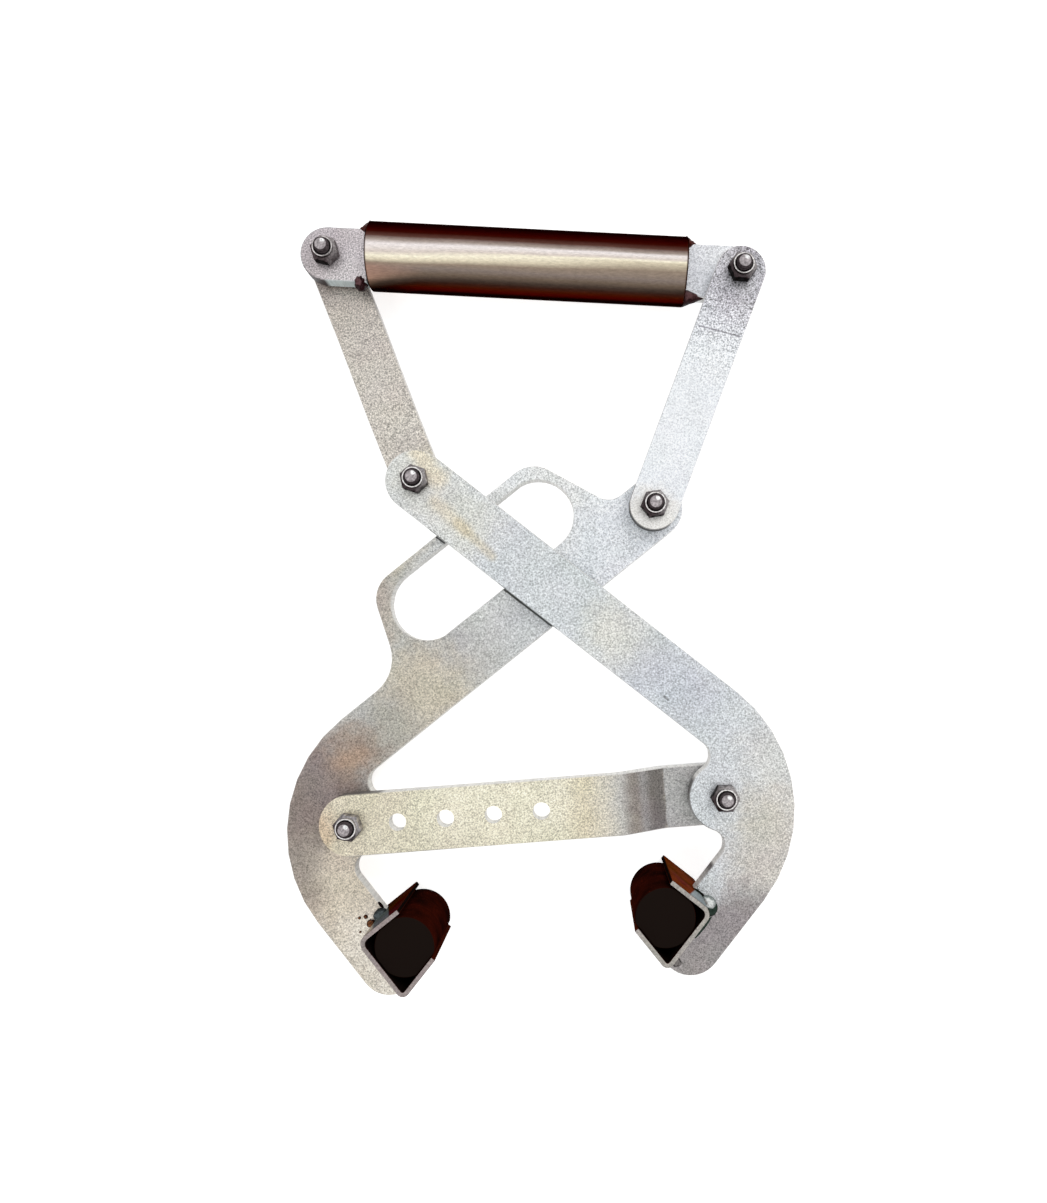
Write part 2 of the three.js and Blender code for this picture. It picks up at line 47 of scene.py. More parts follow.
# Camera
# The clamp is seen from straight above, from a point a little below its crossing,
# with the frame turned so that the tie bar climbs to the right.
camera_place = Vector((28.41, -26.82, 464.33)) * MM
camera_forward = Vector((-0.0081, 0.0138, -1.0)).normalized()
camera_turn = math.radians(4.475)
camera_right = camera_forward.cross(Vector((math.sin(camera_turn), math.cos(camera_turn), 0))).normalized()
camera_top = camera_right.cross(camera_forward)
camera_data = bpy.data.cameras.new("camera")
camera_data.sensor_width = 36
camera_data.lens = 25.06
camera_data.shift_x = -0.0461
camera_data.shift_y = 0.0241
camera = bpy.data.objects.new("camera", camera_data)
scene.collection.objects.link(camera)
camera_axes = Matrix((camera_right, camera_top, -camera_forward)).transposed()
camera.matrix_world = Matrix.Translation(camera_place) @ camera_axes.to_4x4()
scene.camera = camera

# Floor, world and lamps
# A pale table top under the clamp, white all round, and two broad soft lamps. What the
# camera, gloss and glass see of the table and the sky is lifted to white.
scene.view_settings.view_transform = "Standard"


def add_node(tree, kind, inputs=None, **settings):
    made = tree.nodes.new(kind)
    for key, value in settings.items():
        setattr(made, key, value)
    for socket, value in (inputs or {}).items():
        if isinstance(value, bpy.types.NodeSocket):
            tree.links.new(value, made.inputs[socket])
        else:
            made.inputs[socket].default_value = value
    return made


def arithmetic(tree, operation, *values, clamp=False):
    inputs = dict(enumerate(values))
    return add_node(tree, "ShaderNodeMath", inputs, operation=operation, use_clamp=clamp).outputs[0]


def seen_rays(tree):
    path = add_node(tree, "ShaderNodeLightPath").outputs
    mirror = arithmetic(tree, "MAXIMUM", path["Is Glossy Ray"], path["Is Transmission Ray"])
    return arithmetic(tree, "MAXIMUM", path["Is Camera Ray"], mirror)


world = bpy.data.worlds.new("studio")
scene.world = world
world.use_nodes = True
sky = world.node_tree
sky.nodes.clear()
sky_fill, sky_seen = 0.55, 1.0
sky_strength = add_node(sky, "ShaderNodeMapRange", {
    "Value": seen_rays(sky),
    "To Min": sky_fill,
    "To Max": sky_seen,
})
sky_light = add_node(sky, "ShaderNodeBackground", {
    "Color": (1, 1, 1, 1),
    "Strength": sky_strength.outputs[0],
})
add_node(sky, "ShaderNodeOutputWorld", {"Surface": sky_light.outputs[0]})

floor_half, floor_drop, floor_glow = 12, 0.3 * MM, 0.7
floor_mesh = bmesh.new()
bmesh.ops.create_grid(floor_mesh, x_segments=1, y_segments=1, size=floor_half)
bmesh.ops.translate(floor_mesh, vec=(0, 0, -floor_drop), verts=floor_mesh.verts)
floor_data = bpy.data.meshes.new("floor")
floor_mesh.to_mesh(floor_data)
floor_mesh.free()
floor = bpy.data.objects.new("floor", floor_data)
scene.collection.objects.link(floor)
floor_paint = bpy.data.materials.new("floor_paint")
floor_paint.use_nodes = True
floor_tree = floor_paint.node_tree
floor_shader = floor_tree.nodes["Principled BSDF"]
floor_shader.inputs["Base Color"].default_value = (0.86, 0.86, 0.86, 1)
floor_shader.inputs["Roughness"].default_value = 0.9
floor_shader.inputs["Emission Color"].default_value = (1, 1, 1, 1)
floor_lift = arithmetic(floor_tree, "MULTIPLY", seen_rays(floor_tree), floor_glow)
floor_tree.links.new(floor_lift, floor_shader.inputs["Emission Strength"])
floor_data.materials.append(floor_paint)


def soft_lamp(name, place, aim, size, power, reflection_paint):
    data = bpy.data.lights.new(name, "AREA")
    data.shape = "DISK"
    data.size = size
    data.energy = power
    data.color = reflection_paint
    lamp = bpy.data.objects.new(name, data)
    lamp.location = place
    lamp.rotation_euler = (Vector(aim) - Vector(place)).to_track_quat("-Z", "Y").to_euler()
    lamp.visible_glossy = False
    scene.collection.objects.link(lamp)


soft_lamp("key_lamp", (0.75, 0.85, 1.15), (0, 0, 0.02), 0.7, 9.0, (1, 0.985, 0.96))
soft_lamp("fill_lamp", (-0.9, -0.7, 1.0), (0, 0, 0.02), 0.9, 3.5, (0.96, 0.98, 1))

# Tie bar
# A flat bar of zinc plated steel, drilled every 25 mm, with a joggle before its right end.
# The plating is fine grained and straw yellow; where the bar is bent it is painted darker as shade.


def paint(code):
    """Linear colour of a hex code."""
    channels = [int(code[i:i + 2], 16) / 255 for i in (0, 2, 4)]
    return (*[((c + 0.055) / 1.055) ** 2.4 if c > 0.04045 else c / 12.92 for c in channels], 1)


def new_group(name, inputs, outputs):
    group = bpy.data.node_groups.new(name, "ShaderNodeTree")
    for socket, kind, value in inputs:
        made = group.interface.new_socket(name=socket, in_out="INPUT", socket_type="NodeSocket" + kind)
        made.default_value = value
    for socket, kind in outputs:
        group.interface.new_socket(name=socket, in_out="OUTPUT", socket_type="NodeSocket" + kind)
    return group, add_node(group, "NodeGroupInput").outputs, add_node(group, "NodeGroupOutput")


def vector_math(tree, operation, *values, output="Vector", **named):
    inputs = {**dict(enumerate(values)), **named}
    return add_node(tree, "ShaderNodeVectorMath", inputs, operation=operation).outputs[output]


def map_range(tree, value, low, high, to_low=0.0, to_high=1.0, smooth=False):
    inputs = {0: value, 1: low, 2: high, 3: to_low, 4: to_high}
    kind = "SMOOTHSTEP" if smooth else "LINEAR"
    return add_node(tree, "ShaderNodeMapRange", inputs, interpolation_type=kind).outputs[0]


def mix_colour(tree, factor, first, second):
    inputs = {0: factor, 6: first, 7: second}
    return add_node(tree, "ShaderNodeMix", inputs, data_type="RGBA").outputs[2]


# zinc grain: fine speckle, cloudy patches and a faint play of tints over a colour
zinc_grain, grain_in, grain_out = new_group("zinc_grain", [
    ("Vector", "Vector", (0, 0, 0)),
    ("Color", "Color", (0.6, 0.6, 0.6, 1)),
    ("Grain Size", "Float", 0.8),
    ("Grain", "Float", 0.1),
    ("Cloud Size", "Float", 12.0),
    ("Cloud", "Float", 0.04),
    ("Tint", "Float", 0.04),
    ("Roughness", "Float", 0.45),
], [("Color", "Color"), ("Roughness", "Float"), ("Height", "Float")])


def noise_field(tree, vector, size_mm, detail, rough, output=0):
    scale = arithmetic(tree, "DIVIDE", 1 / MM, size_mm)
    inputs = {"Vector": vector, "Scale": scale, "Detail": detail, "Roughness": rough}
    return add_node(tree, "ShaderNodeTexNoise", inputs).outputs[output]


grain_fine = noise_field(zinc_grain, grain_in["Vector"], grain_in["Grain Size"], 3.0, 0.7)
grain_signed = map_range(zinc_grain, grain_fine, 0.3, 0.7, -1.0, 1.0)
cloud_field = noise_field(zinc_grain, grain_in["Vector"], grain_in["Cloud Size"], 3.0, 0.55)
cloud_signed = map_range(zinc_grain, cloud_field, 0.3, 0.7, -1.0, 1.0)
grain_part = arithmetic(zinc_grain, "MULTIPLY_ADD", grain_signed, grain_in["Grain"], 1.0)
cloud_part = arithmetic(zinc_grain, "MULTIPLY_ADD", cloud_signed, grain_in["Cloud"], grain_part)
grain_grey = vector_math(zinc_grain, "SCALE", grain_in["Color"], Scale=cloud_part)
tint_size = arithmetic(zinc_grain, "MULTIPLY", grain_in["Cloud Size"], 1.9)
tint_field = noise_field(zinc_grain, grain_in["Vector"], tint_size, 2.0, 0.5, output=1)
tint_signed = vector_math(zinc_grain, "SUBTRACT", tint_field, (0.5, 0.5, 0.5))
tint_part = vector_math(zinc_grain, "SCALE", tint_signed, Scale=grain_in["Tint"])
grain_tinted = vector_math(zinc_grain, "ADD", grain_grey, tint_part)
rough_part = arithmetic(zinc_grain, "MULTIPLY_ADD", grain_signed, 0.06, grain_in["Roughness"])
zinc_grain.links.new(grain_tinted, grain_out.inputs["Color"])
zinc_grain.links.new(rough_part, grain_out.inputs["Roughness"])
zinc_grain.links.new(grain_signed, grain_out.inputs["Height"])

# stain: a soft-edged mark between two points, from a round patch to a long scratch
stain, stain_in, stain_out = new_group("stain", [
    ("Vector", "Vector", (0, 0, 0)),
    ("Start", "Vector", (0, 0, 0)),
    ("End", "Vector", (0, 0, 0)),
    ("Radius", "Float", 0.01),
    ("Soft", "Float", 0.5),
    ("Wobble", "Float", 0.3),
], [("Mask", "Float"), ("Along", "Float")])
stain_span = vector_math(stain, "SUBTRACT", stain_in["End"], stain_in["Start"])
stain_from = vector_math(stain, "SUBTRACT", stain_in["Vector"], stain_in["Start"])
span_square = vector_math(stain, "DOT_PRODUCT", stain_span, stain_span, output="Value")
stain_dot = vector_math(stain, "DOT_PRODUCT", stain_from, stain_span, output="Value")
span_safe = arithmetic(stain, "MAXIMUM", span_square, 1e-9)
stain_along = arithmetic(stain, "DIVIDE", stain_dot, span_safe, clamp=True)
stain_foot = vector_math(stain, "SCALE", stain_span, Scale=stain_along)
stain_off = vector_math(stain, "SUBTRACT", stain_from, stain_foot)
stain_distance = vector_math(stain, "LENGTH", stain_off, output="Value")
stain_share = arithmetic(stain, "DIVIDE", stain_distance, stain_in["Radius"])
ripple_mm = 9.0
stain_noise = noise_field(stain, stain_in["Vector"], ripple_mm, 3.0, 0.6)
stain_ripple = map_range(stain, stain_noise, 0.3, 0.7, -1.0, 1.0)
stain_reach = arithmetic(stain, "MULTIPLY_ADD", stain_ripple, stain_in["Wobble"], stain_share)
stain_start = arithmetic(stain, "SUBTRACT", 1.0, stain_in["Soft"])
stain_edge = arithmetic(stain, "ADD", 1.0, stain_in["Soft"])
stain_mask = map_range(stain, stain_reach, stain_start, stain_edge, 1.0, 0.0, smooth=True)
stain.links.new(stain_mask, stain_out.inputs["Mask"])
stain.links.new(stain_along, stain_out.inputs["Along"])

# cut edge: the sheared sides of a plate in a colour of their own, with lines through the plate
cut_edge, cut_in, cut_out = new_group("cut_edge", [
    ("Vector", "Vector", (0, 0, 0)),
    ("Normal", "Vector", (0, 0, 1)),
    ("Color", "Color", (0.6, 0.6, 0.6, 1)),
    ("Edge Color", "Color", (0.3, 0.3, 0.3, 1)),
    ("Depth", "Float", 0.35),
], [("Color", "Color"), ("Side", "Float")])
cut_normal = add_node(cut_edge, "ShaderNodeSeparateXYZ", {0: cut_in["Normal"]}).outputs[2]
cut_upright = arithmetic(cut_edge, "ABSOLUTE", cut_normal)
cut_side = map_range(cut_edge, cut_upright, 0.5, 0.95, 1.0, 0.0, smooth=True)
shear_line_mm, shear_stretch = 0.9, (1, 1, 0.06)
cut_stretch = vector_math(cut_edge, "MULTIPLY", cut_in["Vector"], shear_stretch)
cut_noise = noise_field(cut_edge, cut_stretch, shear_line_mm, 3.0, 0.6)
cut_lines = map_range(cut_edge, cut_noise, 0.3, 0.7, -1.0, 1.0)
cut_gain = arithmetic(cut_edge, "MULTIPLY_ADD", cut_lines, cut_in["Depth"], 1.0)
cut_colour = vector_math(cut_edge, "SCALE", cut_in["Edge Color"], Scale=cut_gain)
cut_edge.links.new(mix_colour(cut_edge, cut_side, cut_in["Color"], cut_colour), cut_out.inputs["Color"])
cut_edge.links.new(cut_side, cut_out.inputs["Side"])


def use_group(tree, group, inputs):
    return add_node(tree, "ShaderNodeGroup", inputs, node_tree=group).outputs


def new_finish(name, metallic, roughness):
    """A material with its node tree, its shader and the piece's own coordinates."""
    material = bpy.data.materials.new(name)
    material.use_nodes = True
    tree = material.node_tree
    shader = tree.nodes["Principled BSDF"]
    shader.inputs["Metallic"].default_value = metallic
    shader.inputs["Roughness"].default_value = roughness
    coordinates = add_node(tree, "ShaderNodeTexCoord").outputs
    return material, tree, shader, coordinates


def add_bump(tree, shader, height, depth_mm, strength=1.0):
    bump = add_node(tree, "ShaderNodeBump", {
        "Height": height,
        "Distance": depth_mm * MM,
        "Strength": strength,
    })
    tree.links.new(bump.outputs[0], shader.inputs["Normal"])


face_metal, sheared_metal, plate_roughness = 0.65, 0.03, 0.42


def zinc_plate(name, ground, marks, grain=0.6, edge="efeeeb", wall_shade=(), coarse=None):
    """Plated steel. marks are (colour, strength, start, end, radius, soft) in millimetres of plan,
    a fade from start to end where the radius is None; wall_shade are marks of the sheared sides,
    painted shade where a side is in shadow.
    coarse is (start, end, grain at the end)."""
    material, tree, shader, coordinates = new_finish(name, face_metal, plate_roughness)
    flat = vector_math(tree, "MULTIPLY", coordinates["Object"], (1, 1, 0))

    def mark(start, end, radius, soft):
        return use_group(tree, stain, {
            "Vector": flat,
            "Start": Vector((*start, 0)) * MM,
            "End": Vector((*end, 0)) * MM,
            "Radius": (radius or 1) * MM,
            "Soft": soft,
            "Wobble": min(soft, 0.25),
        })

    def lay(colour, patches):
        for code, strength, start, end, radius, soft in patches:
            placed = mark(start, end, radius, soft)
            share = placed["Mask"] if radius else placed["Along"]
            factor = arithmetic(tree, "MULTIPLY", share, strength)
            colour = mix_colour(tree, factor, colour, paint(code))
        return colour

    if coarse:
        start, end, last = coarse
        grain = map_range(tree, mark(start, end, None, 0)["Along"], 0.0, 1.0, grain, last)
    grained = use_group(tree, zinc_grain, {
        "Vector": coordinates["Object"],
        "Color": lay(paint(ground), marks),
        "Grain Size": 0.8,
        "Grain": grain,
        "Cloud": 0.05,
        "Tint": 0.035,
        "Roughness": plate_roughness,
    })
    edged = use_group(tree, cut_edge, {
        "Vector": coordinates["Object"],
        "Normal": coordinates["Normal"],
        "Color": grained["Color"],
        "Edge Color": lay(paint(edge), wall_shade),
        "Depth": 0.2,
    })
    tree.links.new(edged["Color"], shader.inputs["Base Color"])
    tree.links.new(grained["Roughness"], shader.inputs["Roughness"])
    metal = map_range(tree, edged["Side"], 0.0, 1.0, face_metal, sheared_metal)
    tree.links.new(metal, shader.inputs["Metallic"])
    shader.inputs["Specular IOR Level"].default_value = 0.1
    add_bump(tree, shader, grained["Height"], 0.02, 0.6)
    return material


def dress(node, material):
    """Gives a CAD node its finish."""
    slots = nodes[node].material_slots
    for slot in slots:
        slot.link = "DATA"
        slot.material = material


dress("tie_bar", zinc_plate("tie_bar_zinc", "dfdac4", [
    ("d9d1bc", 1.0, (-60, -111), (-120, -111), None, 0),
    ("eee9d4", 0.8, (-40, -100), (0, -105), 22, 0.8),
    ("c9a98a", 0.5, (-118, -111), (-118, -116), 8, 0.7),
    ("dbd1b7", 0.8, (24, -120), (24, -100), 10, 0.9),
    # from here to x = 58.8 the marks paint the joggle's slope darker: painted shade
    ("d6d0c4", 0.9, (34, -130), (34, -90), 8, 0.9),
    ("c6c4c0", 1.0, (42, -135), (42, -85), 6, 0.9),
    ("9e9996", 1.0, (56, -135), (56, -85), 11, 0.5),
    ("857b73", 0.6, (46.5, -135), (46.5, -85), 4, 0.9),
    ("a9a8aa", 0.4, (52.6, -135), (52.6, -85), 2.2, 0.9),
    ("77726f", 0.85, (58.8, -135), (58.8, -85), 4.8, 0.7),
    ("b6b5b4", 1.0, (80, -135), (80, -85), 16.5, 0.03),
], wall_shade=[
    # painted shadow on the sheared side at the bar's upper left end
    ("4a4341", 0.9, (-109, -98), (-88, -96), 4, 0.5),
]))

# Back arm
# The left jaw's arm, cut from 8 mm plate with its hand hole and boss. Pale and bluish at
# its top hole, straw coloured in the middle, beige in the leg, and painted warm grey round the
# bend as shade.
dress("back_arm", zinc_plate("back_arm_zinc", "e1e5ea", [
    ("bdbdba", 1.0, (30, 10), (-40, -30), None, 0),
    ("cbc1ae", 0.8, (-57, -50), (-62, -42), 20, 0.7),
    ("afaba0", 0.7, (-80, -62), (-76, -80), 14, 0.8),
    # these warm grey marks round the bend, and the one at (-134, -128), are painted shade
    ("918680", 1.0, (-118, -90), (-128, -118), 26, 0.7),
    ("a69384", 0.8, (-103, -78), (-98, -74), 12, 0.8),
    ("d2c8b8", 1.0, (-112, -148), (-95, -190), 26, 0.5),
    ("9f958c", 0.8, (-134, -128), (-132, -148), 11, 0.8),
    ("e8e1d5", 0.9, (-98, -178), (-88, -198), 16, 0.8),
    ("e6e8e5", 0.8, (-30, 20), (20, 62), 22, 0.8),
    ("c6bca9", 0.8, (-56, 42), (-74, 26), 9, 0.7),
    ("b9ada1", 0.7, (-80, 12), (-80, -12), 8, 0.8),
    ("bfa088", 0.45, (-97, -78.5), (-106, -80), 4.5, 0.8),
    ("5f5650", 0.7, (-98.7, -120.2), (-98.7, -120.9), 1.3, 0.5),
    # painted shadow in the gap under the edge of the other arm
    ("33312f", 0.9, (-13.4, 4.4), (10.5, -17.0), 0.6, 0.3),
    ("33312f", 0.9, (-47.2, 35.0), (-43.0, 31.3), 0.5, 0.3),
]))

# Front arm
# The right jaw's arm, the same plate turned over and left without a hand hole. Bluish
# zinc with a straw streak below its top hole and a dull mauve grey foot.
dress("front_arm", zinc_plate("front_arm_zinc", "d5d9dc", [
    ("dbdbd5", 0.9, (-55, 66), (-30, 40), 16, 0.7),
    ("e8dcc6", 0.8, (-52, 80), (-43, 64), 5, 0.9),
    ("dacdb2", 0.5, (-45, 52), (-30, 36), 3.4, 0.9),
    ("cfc1a2", 0.45, (-33.8, 40.3), (-17.5, 21.5), 2.2, 0.9),
    ("dddcd3", 0.8, (42, -22), (50, -30), 14, 0.9),
    ("cbcfd6", 0.8, (62, -45), (80, -62), 16, 0.8),
    ("d8d8d5", 0.8, (122, -90), (120, -120), 16, 0.8),
    ("d0cac0", 0.8, (115, -130), (110, -152), 18, 0.8),
    ("a09a9a", 1.0, (98, -182), (72, -197), 22, 0.5),
    ("7f7f80", 0.8, (66.4, -58.5), (68, -60.1), 0.7, 0.5),
], wall_shade=[
    # painted shadow on the sheared sides: at the crossing, round the boss and by the right jaw
    ("2b2927", 1.0, (-14, 4.5), (11, -18), 3, 0.3),
    ("2b2927", 1.0, (-48, 36), (-42, 31), 2.5, 0.4),
    ("3b3533", 0.9, (76, -106), (80, -123), 4, 0.5),
    ("3b3533", 0.8, (80, -123), (90, -126), 4, 0.5),
    ("2a0f09", 1.0, (85, -149), (76, -161), 2, 0.4),
]))

# Links
# Two flat bars. The left one is coarse grained and warm; the right one is grey and coarse
# round its top bolt, with a scored line below; towards its lower bolt it is painted nearly white
# as a highlight, and its sheared side there painted dark as shadow.
dress("left_link", zinc_plate("left_link_zinc", "cfc9c1", [
    ("bfb6af", 1.0, (-70, 130), (-90, 180), None, 0),
    ("d9d3c1", 0.8, (-46, 72), (-44, 60), 10, 0.8),
], grain=0.8))
dress("right_link", zinc_plate("right_link_zinc", "eef2f6", [
    ("c8c7cd", 1.0, (106, 118), (118, 146), None, 0),
    ("a4a2a6", 0.55, (124, 156), (128, 170), 11, 0.8),
    # painted highlight round the lower bolt
    ("f1efea", 0.9, (66, 36), (70, 31), 14, 0.4),
    ("8d8b92", 0.8, (99.5, 133), (120.5, 125.5), 0.4, 0.5),
], grain=0.36, coarse=((98, 100), (118, 140), 1.1), wall_shade=[
    # painted shadow on the sheared side round the lower bolt
    ("2a2827", 1.0, (56, 52), (59.5, 32), 4, 0.3),
    ("2a2827", 1.0, (59.5, 32), (77, 28), 4, 0.3),
]))

# Handle tabs
# Two short pieces of flat bar, butted against the ends of the handle tube. The left one is
# mauve grey with a bright sheared side; the right one is pale and bluish.
dress("handle_tab_left", zinc_plate("left_tab_zinc", "d3ccce", [
    ("c0b8bb", 0.7, (-100, 197), (-88, 200), 12, 0.9),
    ("b2abad", 0.6, (-103, 182), (-106, 190), 7, 0.9),
], grain=0.75, edge="cdd8d8", wall_shade=[
    # painted shadow on the sheared side at the tab's left end
    ("3a3434", 1.0, (-106, 180), (-98, 175), 3.5, 0.4),
    ("6f7474", 0.7, (-78, 172.5), (-75, 172), 1.5, 0.6),
]))
dress("handle_tab_right", zinc_plate("right_tab_zinc", "e4e6eb", [
    ("d2d3d9", 0.7, (104, 152), (110, 156), 9, 0.9),
], grain=0.5))

# Handle tube
# A round steel tube, satin plated. Its colour is painted by the angle round it as a painted
# reflection of brown surroundings: champagne along its top, grey-brown below that, and dark
# red-brown where it turns away to the sides. It is dark red-brown at its cut ends too.
tube_wall, tube_rim = 2.6 * MM, 0.5 * MM
tube_facets = 144


def pivot(name):
    """Middle of the pivot whose nut has that name."""
    low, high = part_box("nut_" + name)
    return (low + high) / 2


def reach(node, along):
    """How far a node lies along a direction, from and to."""
    runs = [corner.co.dot(along) for corner in nodes[node].data.vertices]
    return min(runs), max(runs)


def draw_line(mesh, points):
    """Edges through the points, each corner extruded from the one before."""
    corner = bmesh.ops.create_vert(mesh, co=points[0])["vert"][0]
    for point in points[1:]:
        corner = bmesh.ops.extrude_vert_indiv(mesh, verts=[corner])["verts"][0]
        corner.co = point


def spin_round(mesh, centre, axis, steps):
    outline = mesh.verts[:] + mesh.edges[:]
    bmesh.ops.spin(mesh, geom=outline, cent=centre, axis=axis, angle=math.tau, steps=steps, use_merge=True)
    close_up(mesh)


def close_up(mesh):
    bmesh.ops.remove_doubles(mesh, verts=mesh.verts, dist=0.002 * MM)
    bmesh.ops.recalc_face_normals(mesh, faces=mesh.faces)


def make_piece(name, mesh, body, material, stands_for, crease=32):
    """Puts a finished mesh into the scene on its body, smooth but for edges past the crease."""
    data = bpy.data.meshes.new(name)
    mesh.to_mesh(data)
    mesh.free()
    data.shade_smooth()
    data.set_sharp_from_angle(angle=math.radians(crease))
    for finish in material if isinstance(material, list) else [material]:
        data.materials.append(finish)
    piece = bpy.data.objects.new(name, data)
    scene.collection.objects.link(piece)
    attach(piece, body)
    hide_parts(*stands_for)


handle_along = pivot("handle_right") - pivot("handle_left")
handle_along = Vector((handle_along.x, handle_along.y, 0)).normalized()
handle_across = Vector((-handle_along.y, handle_along.x, 0))
tube_start, tube_end = reach("handle_tube", handle_along)
tube_low, tube_high = reach("handle_tube", handle_across)
tube_radius = (tube_high - tube_low) / 2
tube_centre = handle_across * (tube_low + tube_high) / 2
tube_centre.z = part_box("handle_tube")[0].z + tube_radius
bore_radius = tube_radius - tube_wall
tube_profile = [
    (tube_start, bore_radius + tube_rim),
    (tube_start, tube_radius - tube_rim),
    (tube_start + tube_rim, tube_radius),
    (tube_end - tube_rim, tube_radius),
    (tube_end, tube_radius - tube_rim),
    (tube_end, bore_radius + tube_rim),
    (tube_end - tube_rim, bore_radius),
    (tube_start + tube_rim, bore_radius),
    (tube_start, bore_radius + tube_rim),
]
tube_mesh = bmesh.new()
draw_line(tube_mesh, [tube_centre + handle_along * run + handle_across * r for run, r in tube_profile])
spin_round(tube_mesh, tube_centre, handle_along, tube_facets)

tube_zinc, tube_tree, tube_shader, tube_coordinates = new_finish("tube_zinc", 1.0, 0.3)
tube_place = vector_math(tube_tree, "SUBTRACT", tube_coordinates["Object"], tube_centre)
tube_side = vector_math(tube_tree, "DOT_PRODUCT", tube_place, handle_across, output="Value")
tube_run = vector_math(tube_tree, "DOT_PRODUCT", tube_place, handle_along, output="Value")
tube_up = add_node(tube_tree, "ShaderNodeSeparateXYZ", {0: tube_place}).outputs[2]
tube_height = arithmetic(tube_tree, "ABSOLUTE", tube_up)
tube_angle = arithmetic(tube_tree, "ARCTAN2", tube_side, tube_height)
tube_turn = map_range(tube_tree, tube_angle, -math.pi / 2, math.pi / 2)
# its bands waver a little along it
waver_mm, waver_share = 60.0, 0.025
tube_waver = noise_field(tube_tree, tube_coordinates["Object"], waver_mm, 2.0, 0.5)
tube_waver = arithmetic(tube_tree, "SUBTRACT", tube_waver, 0.5)
tube_turn = arithmetic(tube_tree, "MULTIPLY_ADD", tube_waver, waver_share, tube_turn)
# the pale band narrows from the left end to the right
narrow_share = 0.09
narrow_end = tube_start * 0.15 + tube_end * 0.85
narrow_run = map_range(tube_tree, tube_run, tube_start, narrow_end, 0.0, narrow_share)
narrow_low = map_range(tube_tree, tube_turn, 0.30, 0.44)
narrow_high = map_range(tube_tree, tube_turn, 0.44, 0.53, 1.0, 0.0)
narrow_mask = arithmetic(tube_tree, "MULTIPLY", narrow_low, narrow_high)
narrowing = arithmetic(tube_tree, "MULTIPLY", narrow_mask, narrow_run)
tube_turn = arithmetic(tube_tree, "SUBTRACT", tube_turn, narrowing)
# at the left end the painted reflection's dark lower side runs out, and a copper brown one takes its place
lift_length, lift_share, lift_below = 27 * MM, 0.62, 0.29
lift_run = map_range(tube_tree, tube_run, tube_start, tube_start + lift_length, lift_share, 0.0)
tube_below = arithmetic(tube_tree, "SUBTRACT", lift_below, tube_turn)
tube_below = arithmetic(tube_tree, "MAXIMUM", tube_below, 0.0)
tube_turn = arithmetic(tube_tree, "MULTIPLY_ADD", tube_below, lift_run, tube_turn)
tube_reflection_band = add_node(tube_tree, "ShaderNodeValToRGB", {0: tube_turn})
copper_length, copper_share = 32 * MM, 0.7
copper_run = map_range(tube_tree, tube_run, tube_start, tube_start + copper_length, copper_share, 0.0)
copper_low = map_range(tube_tree, tube_turn, 0.2, 0.25)
copper_high = map_range(tube_tree, tube_turn, 0.29, 0.33, 1.0, 0.0)
copper_mask = arithmetic(tube_tree, "MULTIPLY", copper_low, copper_high)
tube_copper = arithmetic(tube_tree, "MULTIPLY", copper_mask, copper_run)
# painted reflection colours, from the side towards the arms, over the top, to the far side
tube_reflection_colours = [
    (0.0, "34160f"), (0.05, "45180d"), (0.107, "3a160b"), (0.15, "341d16"), (0.195, "4d4038"),
    (0.24, "6e5f52"), (0.29, "857870"), (0.325, "958575"), (0.35, "d8cdb4"), (0.382, "faf2da"),
    (0.417, "d8ccc3"), (0.455, "eae1dc"), (0.49, "f0e8e6"), (0.53, "aa9c94"), (0.575, "5b3c34"),
    (0.62, "3c140f"), (0.68, "380e05"), (0.76, "46150a"), (1.0, "46150a"),
]
stops = tube_reflection_band.color_ramp.elements
stops[0].position = tube_reflection_colours[0][0]
stops[1].position = tube_reflection_colours[-1][0]
for position, code in tube_reflection_colours[1:-1]:
    stops.new(position)
for stop, (position, code) in zip(stops, tube_reflection_colours):
    stop.color = paint(code)
# fine streaks along the tube and a dark rim at each cut end
streak_mm, streak_stretch = 0.7, 0.25
tube_streak_place = add_node(tube_tree, "ShaderNodeCombineXYZ", {
    0: arithmetic(tube_tree, "MULTIPLY", tube_run, streak_stretch),
    1: tube_side,
    2: tube_up,
}).outputs[0]
tube_grain = noise_field(tube_tree, tube_streak_place, streak_mm, 3.0, 0.7)
tube_streak = map_range(tube_tree, tube_grain, 0.3, 0.7, 0.82, 1.18)
tube_tinted = mix_colour(tube_tree, tube_copper, tube_reflection_band.outputs[0], paint("ae8775"))
tube_grained = vector_math(tube_tree, "SCALE", tube_tinted, Scale=tube_streak)
tube_middle, tube_half = (tube_start + tube_end) / 2, (tube_end - tube_start) / 2
tube_from_middle = arithmetic(tube_tree, "SUBTRACT", tube_run, tube_middle)
tube_from_middle = arithmetic(tube_tree, "ABSOLUTE", tube_from_middle)
dark_from, dark_whole = tube_half - 1.1 * MM, tube_half - 0.5 * MM
tube_dark_end = map_range(tube_tree, tube_from_middle, dark_from, dark_whole)
tube_colour = mix_colour(tube_tree, tube_dark_end, tube_grained, paint("3a211b"))
tube_tree.links.new(tube_colour, tube_shader.inputs["Base Color"])
tube_shader.inputs["Specular Tint"].default_value = paint("5e2716")
add_bump(tube_tree, tube_shader, tube_streak, 0.01, 0.5)
make_piece("tube", tube_mesh, "handle", tube_zinc, ["handle_tube"])

# Handle welds
# Where each tab meets the tube, a bead runs over the tab's upper and lower edge. Three of
# the beads taper off along the tab, the lower left one is a lump; all are painted dark, red-brown
# and purple-brown, as a painted reflection of brown surroundings.


